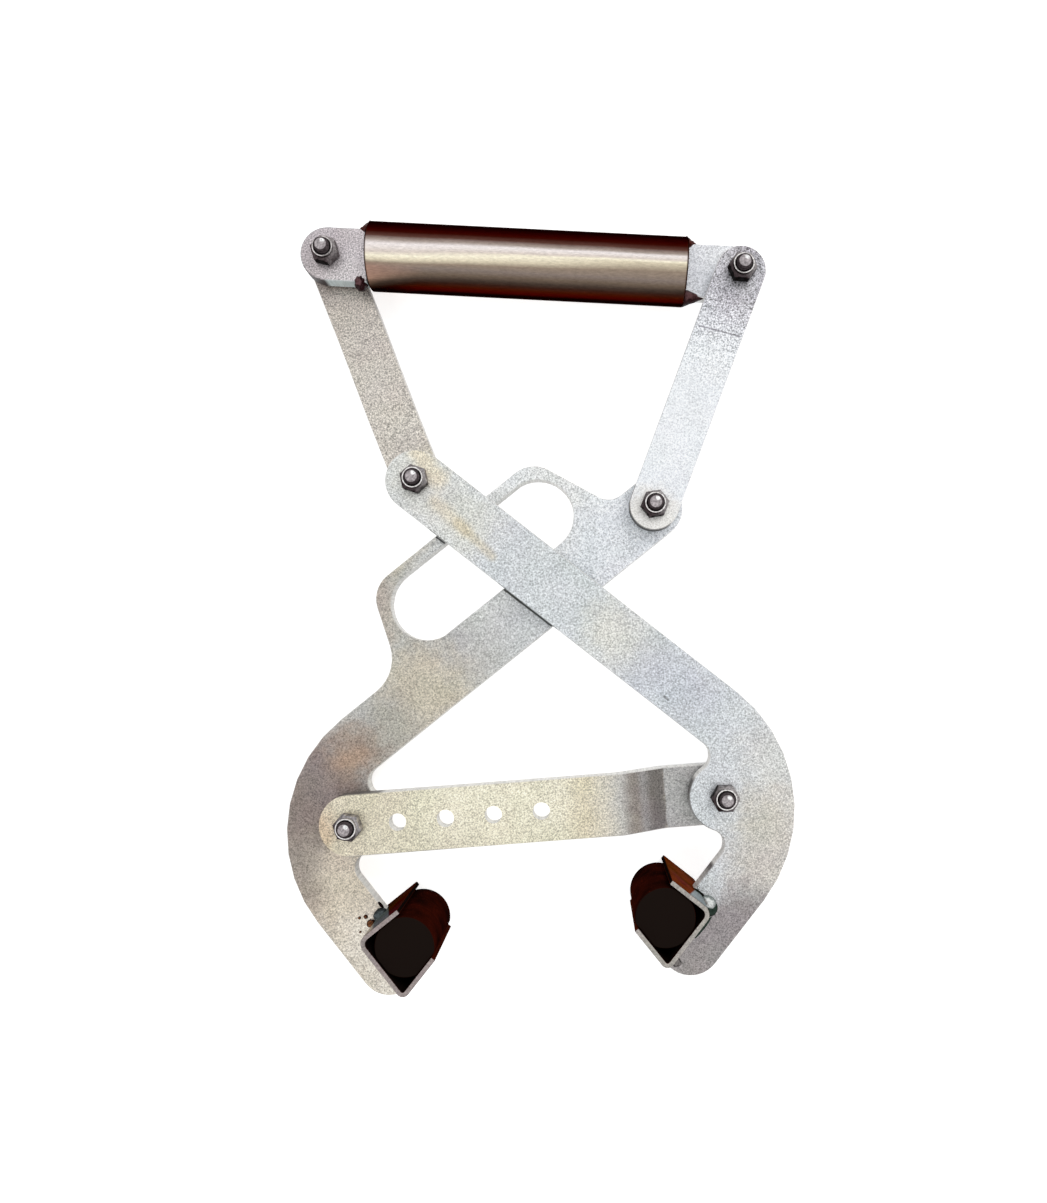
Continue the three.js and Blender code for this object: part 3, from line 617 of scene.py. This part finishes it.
def bead_finish(name, low_colour, high_colour, metallic=0.6, shine=0.3, cloud_mm=1.6):
    material, tree, shader, coordinates = new_finish(name, metallic, shine)
    cloud = noise_field(tree, coordinates["Object"], cloud_mm, 3.0, 0.6)
    up = add_node(tree, "ShaderNodeSeparateXYZ", {0: coordinates["Normal"]}).outputs[2]
    # parts of a bead that face up take the high colour: painted light
    lit = map_range(tree, arithmetic(tree, "MULTIPLY_ADD", cloud, 0.9, up), 1.1, 1.45)
    colour = mix_colour(tree, lit, paint(low_colour), paint(high_colour))
    tree.links.new(colour, shader.inputs["Base Color"])
    shader.inputs["Specular Tint"].default_value = paint(low_colour)
    add_bump(tree, shader, cloud, 0.2, 0.6)
    return material


def roughen(mesh, depth, size):
    """Pushes a lump's skin in and out by noise."""
    for corner in mesh.verts:
        corner.co += corner.normal * depth * noise.noise(corner.co / size)


ripple_depth, cone_ripple, lump_ripple = 0.45 * MM, 1.3 * MM, 1.4 * MM


def weld_cone(name, foot, tip, radius, finish, node):
    """A bead on the handle that tapers from its foot to its tip."""
    mesh = bmesh.new()
    run = tip - foot
    turn = run.to_track_quat("Z", "Y").to_matrix().to_4x4()
    bmesh.ops.create_cone(
        mesh, cap_ends=True, cap_tris=False, segments=28, radius1=radius, radius2=radius * 0.08,
        depth=run.length, matrix=Matrix.Translation((foot + tip) / 2) @ turn,
    )
    sides = [edge for edge in mesh.edges if edge.calc_length() > run.length * 0.9]
    bmesh.ops.subdivide_edges(mesh, edges=sides, cuts=9)
    mesh.normal_update()
    roughen(mesh, ripple_depth, cone_ripple)
    close_up(mesh)
    make_piece(name, mesh, "handle", finish, [node], 50)


def weld_lump(name, body, place, centre, half_sizes, finish, node, rough):
    """A rounded lump, its middle and half sizes in millimetres of the frame it is placed by."""
    mesh = bmesh.new()
    bmesh.ops.create_icosphere(mesh, subdivisions=4, radius=1)
    bmesh.ops.scale(mesh, vec=Vector(half_sizes) * MM, verts=mesh.verts)
    mesh.normal_update()
    roughen(mesh, rough * MM, lump_ripple)
    bmesh.ops.translate(mesh, vec=Vector(centre) * MM, verts=mesh.verts)
    bmesh.ops.transform(mesh, matrix=place, verts=mesh.verts)
    close_up(mesh)
    make_piece(name, mesh, body, finish, [node] if node else [], 60)


# dark red and purple-brown bead colours: a painted reflection of brown surroundings
bead_red = bead_finish("bead_red", "3e1008", "4e1c10", 0.2, 0.45, 2.6)
bead_purple = bead_finish("bead_purple", "260d10", "65484a", 0.3, 0.35, 1.8)
handle_frame = Matrix((handle_along, handle_across, (0, 0, 1))).transposed().to_4x4()
low_edge, high_edge = 0, 1


def beside_tab(side, edge, out, across, up):
    """Where an edge of a tab meets the tube, moved in millimetres along and across the handle."""
    tab_at, pointing = (tube_start, -1) if side == "left" else (tube_end, 1)
    edge_at = reach("handle_tab_" + side, handle_across)[edge]
    corner = Vector((tab_at, edge_at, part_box("handle_tab_" + side)[1].z))
    return handle_frame @ (corner + Vector((out * pointing, across, up)) * MM)


for side, tail, radius in (("left", 5.9, 4.0), ("right", 5.0, 3.6)):
    foot = beside_tab(side, high_edge, -0.6, 0, 0)
    tip = beside_tab(side, high_edge, tail, 0, -1)
    weld_cone("bead_top_" + side, foot, tip, radius * MM, bead_red, "handle_weld_top_" + side)
    if side == "left":
        lump_place = Matrix.Translation(beside_tab(side, low_edge, 4.1, 0.3, -3)) @ handle_frame
        weld_lump(
            "bead_low_left", "handle", lump_place, (0, 0, 0), (3.4, 4.0, 4.4), bead_purple,
            "handle_weld_low_left", 0.7,
        )
    else:
        foot = beside_tab(side, low_edge, -0.6, -0.4, -1.5)
        tip = beside_tab(side, low_edge, 11.5, 0.6, -2)
        weld_cone("bead_low_right", foot, tip, 4.6 * MM, bead_purple, "handle_weld_low_right")

# Jaw channels
# Sheet folded into a channel and welded on the end of each arm. Its cut ends are plain zinc, its
# sides painted red-brown as a painted reflection of brown surroundings, and its hollow painted black
# as shade. Outside, the upper flange is painted copper brown, also a painted reflection, where it
# stands free, grey beside the weld, and plated along the arm.
arm_run, arm_drop = 228, 31.2
web_at, flange_at = 253.9, -78.25
web_width, flange_length, sheet = 37.1, 25.8, 2.3
jaw_length = 50
flange_lean = math.radians(13)
lower_fold, upper_fold, edge_round = 3.6, 5.5, 0.35
# which way the painted reflection's edge faces, how far the grey beside the weld goes on, and how near its
# plane a flange is
reflection_edge_way, weld_side_length, flange_zone = Vector((0.76, 0, 0.24)), 12, 4


def arm_frame(top, foot, side):
    """Places on an arm: x down its band from the top hole, y out of its curve."""
    heading = math.atan2(foot.y - top.y, foot.x - top.x) + side * math.atan2(arm_drop, arm_run)
    turned = Matrix.Translation((top.x, top.y, 0)) @ Matrix.Rotation(heading, 4, "Z")
    return turned @ Matrix.Diagonal((1, side, 1, 1))


jaw_frames = {
    "left": arm_frame(pivot("link_right"), pivot("tie_left"), -1),
    "right": arm_frame(pivot("link_left"), pivot("tie_right"), 1),
}
jaw_bodies = {"left": "back_arm", "right": "front_arm"}


def satin_sheet(name, face, side_face):
    """Sheet metal with one colour on its cut ends and another on its sides."""
    material, tree, shader, coordinates = new_finish(name, 0.0, 0.45)
    shader.inputs["Specular IOR Level"].default_value = 0.0
    grained = use_group(tree, zinc_grain, {
        "Vector": coordinates["Object"],
        "Color": paint(face),
        "Grain": 0.4,
        "Cloud Size": 8.0,
        "Cloud": 0.1,
    })
    edged = use_group(tree, cut_edge, {
        "Vector": coordinates["Object"],
        "Normal": coordinates["Normal"],
        "Color": grained["Color"],
        "Edge Color": paint(side_face),
        "Depth": 0.3,
    })
    tree.links.new(edged["Color"], shader.inputs["Base Color"])
    tree.links.new(grained["Roughness"], shader.inputs["Roughness"])
    return material


def flange_reflection(name, reflection_paint, weld_side_paint, plated, jaw, bound):
    """Painted reflection, copper brown, on the free part of a flange, then grey beside the weld, then
    plating.
    """
    material, tree, shader, coordinates = new_finish(name, 0.0, 0.6)
    shader.inputs["Specular IOR Level"].default_value = 0.0
    limit = jaw_frames[jaw] @ (Vector((bound, flange_at, jaw_length)) * MM)
    across = jaw_frames[jaw].to_3x3() @ reflection_edge_way * MM

    def fade(start, end):
        ends = {"Vector": coordinates["Object"], "Start": start, "End": end}
        return use_group(tree, stain, ends)["Along"]

    clean = limit + across * weld_side_length
    welded = mix_colour(tree, fade(clean, clean + across * 2), paint(weld_side_paint), paint(plated))
    grained = use_group(tree, zinc_grain, {
        "Vector": coordinates["Object"],
        "Color": mix_colour(tree, fade(limit, limit + across), paint(reflection_paint), welded),
        "Grain": 0.35,
        "Cloud Size": 9.0,
        "Cloud": 0.3,
    })
    tree.links.new(grained["Color"], shader.inputs["Base Color"])
    return material


# near-black paint: painted shade in the channel's hollow and on the flange tips beside it, and the colour of
# dark weld seams
shade_and_seam_black = satin_sheet("shade_and_seam_black", "1d1512", "120b09")
flange_lower = Vector((-math.cos(flange_lean), math.sin(flange_lean), 0))
channel_path = [
    Vector((web_at - flange_length, flange_at, 0)),
    Vector((web_at, flange_at, 0)),
    Vector((web_at, flange_at - web_width, 0)),
    Vector((web_at, flange_at - web_width, 0)) + flange_lower * flange_length,
]
# kinds of face: plain cut ends, sides with the painted reflection, and painted shade in the hollow
plain_side, reflection_side, painted_shade_side = 0, 1, 2
hollow_middle = Vector((web_at - flange_length / 2, flange_at - web_width / 2, jaw_length / 2)) * MM
for jaw, end_colour, web_reflection_colour, flange_reflection_colour, weld_side_colour, arm_colour, bound in (
    ("left", "a39896", "3c1309", "42150a", "585e60", "b0a698", 232.5),
    ("right", "b3aea8", "45180b", "6c3015", "8d979b", "a5a8a8", 238.5),
):
    place = jaw_frames[jaw]
    channel = bmesh.new()
    draw_line(channel, [corner * MM for corner in channel_path])
    raised = bmesh.ops.extrude_edge_only(channel, edges=channel.edges[:])["geom"]
    raised = [corner for corner in raised if isinstance(corner, bmesh.types.BMVert)]
    bmesh.ops.translate(channel, vec=(0, 0, jaw_length * MM), verts=raised)
    for fold_radius in (lower_fold, upper_fold):
        inner_edges = [edge for edge in channel.edges if len(edge.link_faces) == 2]
        fold = max(inner_edges, key=lambda edge: edge.calc_face_angle())
        setback = fold_radius * math.tan(fold.calc_face_angle() / 2)
        bmesh.ops.bevel(
            channel, geom=[fold], offset=setback * MM, offset_type="OFFSET",
            affect="EDGES", segments=8, profile=0.5, material=-1,
        )
    bmesh.ops.transform(channel, matrix=place, verts=channel.verts)
    middle = place @ hollow_middle
    bmesh.ops.recalc_face_normals(channel, faces=channel.faces)
    web_face = max(channel.faces, key=lambda face: face.calc_area())
    if web_face.normal.dot(web_face.calc_center_median() - middle) < 0:
        bmesh.ops.reverse_faces(channel, faces=channel.faces)
    bmesh.ops.solidify(channel, geom=channel.faces[:], thickness=sheet * MM)
    close_up(channel)
    rims = [edge for edge in channel.edges if edge.is_manifold and edge.calc_face_angle() > 1.0]
    bmesh.ops.bevel(
        channel, geom=rims, offset=edge_round * MM, offset_type="OFFSET",
        affect="EDGES", segments=2, profile=0.5, material=-1,
    )
    flange_out = (place.to_3x3() @ Vector((0, 1, 0))).normalized()
    flange_tip = (place.to_3x3() @ Vector((-1, 0, 0))).normalized()
    for face in channel.faces:
        face_middle = face.calc_center_median()
        to_middle = middle - face_middle
        to_middle.z = 0
        from_flange = abs((place.inverted() @ face_middle).y / MM - flange_at)
        if abs(face.normal.z) > 0.3:
            face.material_index = plain_side
        elif face.normal.dot(to_middle.normalized()) > 0.3:
            face.material_index = painted_shade_side
        elif face.normal.dot(flange_out) > 0.8:
            face.material_index = reflection_side
        # the flange's tips next to the hollow get painted shade too
        elif face.normal.dot(flange_tip) > 0.95 and from_flange < flange_zone:
            face.material_index = painted_shade_side
    finishes = [
        satin_sheet(jaw + "_channel_zinc", end_colour, web_reflection_colour),
        flange_reflection(jaw + "_flange_reflection", flange_reflection_colour, weld_side_colour, arm_colour, jaw, bound),
        shade_and_seam_black,
    ]
    make_piece(jaw + "_channel", channel, jaw_bodies[jaw], finishes, [jaw + "_jaw_channel"])

# Rubber bars
# A solid round bar of rubber is squeezed into each channel and flattened by its walls.
# Its end is matt black; its side is painted dark red-brown, a painted reflection of brown surroundings, with
# faint rings from the mould.
rubber_radius = 15
rubber_centre = Vector((236.9, -95.2, 0))
rubber_gap, rubber_rim, rubber_facets = 0.3, 0.7, 120
ring_mm, patch_mm = 2.2, 14.0
rubber_black, rubber_tree, rubber_shader, rubber_coordinates = new_finish("rubber_black", 0.0, 0.75)
rubber_up = add_node(rubber_tree, "ShaderNodeSeparateXYZ", {0: rubber_coordinates["Normal"]}).outputs[2]
rubber_end = map_range(rubber_tree, arithmetic(rubber_tree, "ABSOLUTE", rubber_up), 0.4, 0.9)
rubber_place = add_node(rubber_tree, "ShaderNodeSeparateXYZ", {0: rubber_coordinates["Object"]}).outputs
rubber_level = add_node(rubber_tree, "ShaderNodeCombineXYZ", {2: rubber_place[2]}).outputs[0]
rubber_rings = noise_field(rubber_tree, rubber_level, ring_mm, 3.0, 0.7)
rubber_rings = map_range(rubber_tree, rubber_rings, 0.35, 0.65, 0.6, 1.25)
rubber_patch = noise_field(rubber_tree, rubber_coordinates["Object"], patch_mm, 2.0, 0.5)
rubber_patch = map_range(rubber_tree, rubber_patch, 0.35, 0.65)
# the side's dark red-brown, against the black end, is a painted reflection
rubber_side_reflection = mix_colour(rubber_tree, rubber_patch, paint("1c0805"), paint("380f07"))
rubber_ringed = vector_math(rubber_tree, "SCALE", rubber_side_reflection, Scale=rubber_rings)
rubber_colour = mix_colour(rubber_tree, rubber_end, rubber_ringed, paint("1d1613"))
rubber_tree.links.new(rubber_colour, rubber_shader.inputs["Base Color"])
rubber_shader.inputs["Specular IOR Level"].default_value = 0.0
add_bump(rubber_tree, rubber_shader, rubber_rings, 0.08, 0.6)
lower_inward = Vector((math.sin(flange_lean), math.cos(flange_lean), 0))
lower_inside = Vector((web_at, flange_at - web_width, 0)) + lower_inward * sheet
squeeze = [
    (Vector((web_at - sheet, 0, 0)), Vector((-1, 0, 0))),
    (Vector((0, flange_at - sheet, 0)), Vector((0, -1, 0))),
    (lower_inside, lower_inward),
]
for jaw, place in jaw_frames.items():
    low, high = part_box(jaw + "_jaw_rubber")
    bar_middle = rubber_centre * MM + Vector((0, 0, (low.z + high.z) / 2))
    bar = bmesh.new()
    bmesh.ops.create_cone(
        bar, cap_ends=True, cap_tris=False, segments=rubber_facets, depth=high.z - low.z,
        radius1=rubber_radius * MM, radius2=rubber_radius * MM, matrix=Matrix.Translation(bar_middle),
    )
    for wall_point, inward in squeeze:
        for corner in bar.verts:
            short = (corner.co - wall_point * MM).dot(inward) - rubber_gap * MM
            if short < 0:
                corner.co -= inward * short
    rim = [edge for edge in bar.edges if abs(edge.verts[0].co.z - edge.verts[1].co.z) < 0.01 * MM]
    bmesh.ops.bevel(
        bar, geom=rim, offset=rubber_rim * MM, offset_type="OFFSET",
        affect="EDGES", segments=3, profile=0.5, material=-1,
    )
    bmesh.ops.transform(bar, matrix=place, verts=bar.verts)
    close_up(bar)
    make_piece(jaw + "_rubber", bar, jaw_bodies[jaw], rubber_black, [jaw + "_jaw_rubber"], 40)

# Jaw welds
# Short beads fix each channel to its arm, grey at its foot, with drops of spatter beside them.
# The left upper ones are dull blue-grey and copper brown. The right one is a bright round drop
# with painted highlights and a painted shadow on its dark side, a dark seam along the flange
# and a dark line along the web.
bead_blue = bead_finish("bead_blue", "2a2e30", "5f686b", 0.2, 0.6)
bead_copper = bead_finish("bead_copper", "33180e", "7d5236", 0.4, 0.4)
# its near-white high colour paints highlights on the bright drop and its spatter
bead_painted_highlight = bead_finish("bead_painted_highlight", "8b9391", "f4f7f6", 0.3, 0.25, 0.9)
bead_shade = bead_finish("bead_shade", "18211c", "33423a", 0.2, 0.5)
bead_grey = bead_finish("bead_grey", "3c3837", "827d7b")
for name, jaw, centre, half_sizes, finish, node, rough in (
    ("left_bead_blue", "left", (247.8, -78.2, 19.4), (4.0, 3.2, 2.6), bead_blue, "left_jaw_weld_upper", 0.4),
    ("left_bead_spike", "left", (244.8, -74.6, 18.6), (0.7, 2.2, 1.4), shade_and_seam_black, None, 0.2),
    ("left_bead_copper", "left", (254.8, -78.7, 19.4), (2.4, 2.0, 2.0), bead_copper, None, 0.4),
    ("left_bead_foot", "left", (252.3, -107.5, 19.0), (3.2, 5, 2.8), bead_grey, "left_jaw_weld_foot", 0.5),
    ("left_spatter_far", "left", (257.8, -72.6, 19.0), (0.8, 0.8, 0.7), bead_copper, None, 0.1),
    ("left_spatter_near", "left", (254.8, -74.2, 19.0), (1.1, 1.2, 1.0), bead_copper, None, 0.2),
    ("left_spatter_low", "left", (262.0, -78.7, 19.0), (0.7, 0.6, 0.6), bead_copper, None, 0.1),
    (
        "right_bead_upper", "right", (254.8, -78.8, 28.8), (4.2, 3.2, 3.0), bead_painted_highlight,
        "right_jaw_weld_upper", 0.3,
    ),
    ("right_bead_shade", "right", (257.3, -81.2, 28.6), (4.2, 4.4, 1.8), bead_shade, None, 0.3),
    ("right_bead_seam", "right", (248.9, -78.0, 28.9), (4.4, 0.8, 0.8), shade_and_seam_black, None, 0.2),
    ("right_spatter", "right", (246.2, -76.4, 29.2), (0.9, 0.7, 0.7), bead_painted_highlight, None, 0.1),
    ("right_bead_side", "right", (260.6, -91.0, 28.6), (1.1, 8.0, 1.0), bead_shade, None, 0.1),
    (
        "right_bead_foot", "right", (259.9, -113.6, 28.9), (3.4, 2.6, 1.9), bead_grey,
        "right_jaw_weld_foot", 0.4,
    ),
):
    weld_lump(name, jaw_bodies[jaw], jaw_frames[jaw], centre, half_sizes, finish, node, rough)

# Bolts
# Each pivot has an M8 bolt from the back, a washer between the plates and a lock nut in
# front, whose thin collar holds a nylon ring. All are bright zinc, with light and shade painted
# on: lighter tops and lit sides, darker chamfers, dark where they turn away, and a painted glint.
nut_flats, nut_hex_height, nut_height, spun_facets = 13, 6.2, 8, 72
collar_radius, ring_seat, bore = 5.5, 4.75, 4.3
ring_radius, ring_low, ring_high = 4.7, 6.1, 7.6
washer_radius, washer_height, washer_edge = 8, 1.6, 0.2
shank_radius, thread_root, thread_pitch, bolt_point = 4.0, 3.45, 1.25, 1.2
turned_steel, turned_in, turned_out = new_group("turned_steel", [
    ("Vector", "Vector", (0, 0, 0)),
    ("Normal", "Vector", (0, 0, 1)),
    ("Lit Top Color", "Color", (0.8, 0.8, 0.8, 1)),
    ("Shaded Slope Color", "Color", (0.2, 0.2, 0.2, 1)),
    ("Lit Flank Color", "Color", (0.4, 0.4, 0.4, 1)),
    ("Shaded Flank Color", "Color", (0.05, 0.05, 0.05, 1)),
    ("Glint", "Float", 1.0),
], [("Color", "Color")])
turned_up = add_node(turned_steel, "ShaderNodeSeparateXYZ", {0: turned_in["Normal"]}).outputs[2]
# flanks facing lit_side are painted lighter and the rest darker, chamfers darker and tops lighter: painted
# light and shade
lit_side = (0.78, 0.62, 0)
turned_lit = vector_math(turned_steel, "DOT_PRODUCT", turned_in["Normal"], lit_side, output="Value")
turned_lit = map_range(turned_steel, turned_lit, -0.6, 0.9, smooth=True)
turned_sides = mix_colour(turned_steel, turned_lit, turned_in["Shaded Flank Color"], turned_in["Lit Flank Color"])
turned_slope = map_range(turned_steel, turned_up, 0.3, 0.75, smooth=True)
turned_top = map_range(turned_steel, turned_up, 0.93, 0.99, smooth=True)
slope_lit = arithmetic(turned_steel, "MULTIPLY", turned_lit, 0.5)
turned_chamfer = mix_colour(turned_steel, slope_lit, turned_in["Shaded Slope Color"], turned_in["Lit Flank Color"])
turned_colour = mix_colour(turned_steel, turned_slope, turned_sides, turned_chamfer)
turned_colour = mix_colour(turned_steel, turned_top, turned_colour, turned_in["Lit Top Color"])
# a painted glint: white where the normal points along glint_way
glint_way = Vector((0.1, 0.14, 0.985)).normalized()
turned_spot = vector_math(turned_steel, "DOT_PRODUCT", turned_in["Normal"], glint_way, output="Value")
turned_spot = map_range(turned_steel, turned_spot, 0.993, 0.9985)
turned_spot = arithmetic(turned_steel, "MULTIPLY", turned_spot, turned_in["Glint"])
turned_colour = mix_colour(turned_steel, turned_spot, turned_colour, (1, 1, 1, 1))
wear_mm = 1.1
turned_wear = noise_field(turned_steel, turned_in["Vector"], wear_mm, 3.0, 0.65)
turned_wear = map_range(turned_steel, turned_wear, 0.35, 0.65, 0.55, 1.4)
turned_colour = vector_math(turned_steel, "SCALE", turned_colour, Scale=turned_wear)
turned_steel.links.new(turned_colour, turned_out.inputs["Color"])


def turned_finish(name, top, shaded_slope, lit_flank, shaded_flank, glint, metallic=0.85, roughness=0.28):
    material, tree, shader, coordinates = new_finish(name, metallic, roughness)
    shaded = use_group(tree, turned_steel, {
        "Vector": coordinates["Object"],
        "Normal": coordinates["Normal"],
        "Lit Top Color": paint(top),
        "Shaded Slope Color": paint(shaded_slope),
        "Lit Flank Color": paint(lit_flank),
        "Shaded Flank Color": paint(shaded_flank),
        "Glint": glint,
    })
    tree.links.new(shaded["Color"], shader.inputs["Base Color"])
    shader.inputs["Specular Tint"].default_value = paint(shaded_slope)
    return material


nut_zinc = turned_finish("nut_zinc", "ece8e6", "3f3638", "d6d2d2", "241c1c", 0.0)
nut_zinc_shaded = turned_finish("nut_zinc_shaded", "d6d0cf", "4a4042", "c0bbbb", "241c1c", 0.0)
bolt_zinc = turned_finish("bolt_zinc", "aaa3a5", "3a3335", "5f5759", "1f191a", 1.0)
washer_zinc = turned_finish("washer_zinc", "bdb9b6", "9a9592", "a09b98", "5c5755", 0.0)
ring_nylon = turned_finish("ring_nylon", "4a4446", "332c2e", "3c3436", "1c1718", 0.0, 0.0, 0.5)


def spun_piece(name, profile, at, flats, turn, material, node, body):
    """Spins a profile of (radius, height) in millimetres round a pivot, and cuts flats on what
    is wider than their half width."""
    mesh = bmesh.new()
    draw_line(mesh, [Vector((r, 0, z)) * MM for r, z in profile])
    spin_round(mesh, (0, 0, 0), (0, 0, 1), spun_facets)
    for corner in mesh.verts:
        r = math.hypot(corner.co.x, corner.co.y)
        if flats and r > flats / 2 * MM:
            from_flat = (math.degrees(math.atan2(corner.co.y, corner.co.x)) + 30) % 60 - 30
            widest = flats / 2 * MM / math.cos(math.radians(from_flat))
            share = min(r, widest) / r
            corner.co.x *= share
            corner.co.y *= share
    rotation = Matrix.Rotation(math.radians(turn), 3, "Z")
    bmesh.ops.rotate(mesh, cent=(0, 0, 0), matrix=rotation, verts=mesh.verts)
    bmesh.ops.translate(mesh, vec=at, verts=mesh.verts)
    close_up(mesh)
    make_piece(name, mesh, body, material, [node], 28)


hex_corner = nut_flats / math.sqrt(3)
turn_off = (hex_corner - nut_flats / 2) * 0.6
nut_profile = [
    (bore, 0), (nut_flats / 2 - 0.2, 0), (hex_corner, turn_off), (hex_corner, nut_hex_height - 1.15),
    (nut_flats / 2, nut_hex_height - 0.5), (collar_radius + 0.35, nut_hex_height - 0.1),
    (collar_radius, nut_hex_height + 0.3), (collar_radius, nut_height - 0.25),
    (collar_radius - 0.08, nut_height - 0.08), (collar_radius - 0.2, nut_height),
    (ring_seat, nut_height), (ring_seat - 0.15, nut_height - 0.2), (ring_seat, nut_height - 1),
    (ring_seat, nut_height - 2), (bore, nut_height - 2.2), (bore, 0),
]
ring_profile = [
    (bore, ring_low), (ring_radius, ring_low), (ring_radius, ring_high - 0.15),
    (ring_radius - 0.15, ring_high), (bore + 0.1, ring_high), (bore, ring_high - 0.15), (bore, ring_low),
]
washer_profile = [
    (bore, washer_edge), (bore + washer_edge, 0), (washer_radius - washer_edge, 0),
    (washer_radius, washer_edge), (washer_radius, washer_height - washer_edge),
    (washer_radius - washer_edge, washer_height), (bore + washer_edge, washer_height),
    (bore, washer_height - washer_edge), (bore, washer_edge),
]
head_height, thread_turns = 5.3, 3
for spot, turn, body in (
    ("handle_left", 12, "left_link"), ("handle_right", 20, "right_link"), ("link_left", 7.5, "front_arm"),
    ("link_right", 34, "back_arm"), ("tie_left", 15, "tie_bar"), ("tie_right", 25.5, "tie_bar"),
):
    middle = pivot(spot)
    middle.z = 0
    nut_base = middle + Vector((0, 0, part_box("nut_" + spot)[0].z))
    washer_base = middle + Vector((0, 0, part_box("washer_" + spot)[0].z))
    bolt_low, bolt_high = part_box("bolt_" + spot)
    bolt_base = middle + Vector((0, 0, bolt_low.z))
    bolt_length = (bolt_high.z - bolt_low.z) / MM
    bolt_profile = [
        (0, 0.35), (3.2, 0.35), (3.8, 0), (nut_flats / 2 - 0.2, 0), (hex_corner, turn_off),
        (hex_corner, head_height - 0.25), (hex_corner - 0.2, head_height), (shank_radius, head_height),
        (shank_radius, bolt_length - thread_turns * thread_pitch - bolt_point),
    ]
    for groove in range(thread_turns):
        crest = bolt_length - bolt_point - (thread_turns - groove) * thread_pitch
        bolt_profile.append((thread_root, crest + 0.4 * thread_pitch))
        bolt_profile.append((shank_radius, crest + 0.9 * thread_pitch))
    bolt_profile += [
        (3.95, bolt_length - 1.0), (3.3, bolt_length - 0.45), (2.9, bolt_length - 0.35),
        (2.1, bolt_length - 0.18), (1.1, bolt_length - 0.05), (0, bolt_length),
    ]
    # the nut at the handle's left pivot takes a darker copy of the nut finish: painted shade
    nut_finish = nut_zinc_shaded if spot == "handle_left" else nut_zinc
    for name, node, profile, base, flats, turned, finish, slot_name in (
        ("m8_nut_", "nut_", nut_profile, nut_base, nut_flats, turn, nut_finish, "bolt_zinc"),
        ("ring_", "insert_", ring_profile, nut_base, 0, 0, ring_nylon, "nylon"),
        ("m8_washer_", "washer_", washer_profile, washer_base, 0, 0, washer_zinc, "bolt_zinc"),
        ("m8_bolt_", "bolt_", bolt_profile, bolt_base, nut_flats, turn, bolt_zinc, "bolt_zinc"),
    ):
        spun_piece(name + spot, profile, base, flats, turned, finish, node + spot, body)
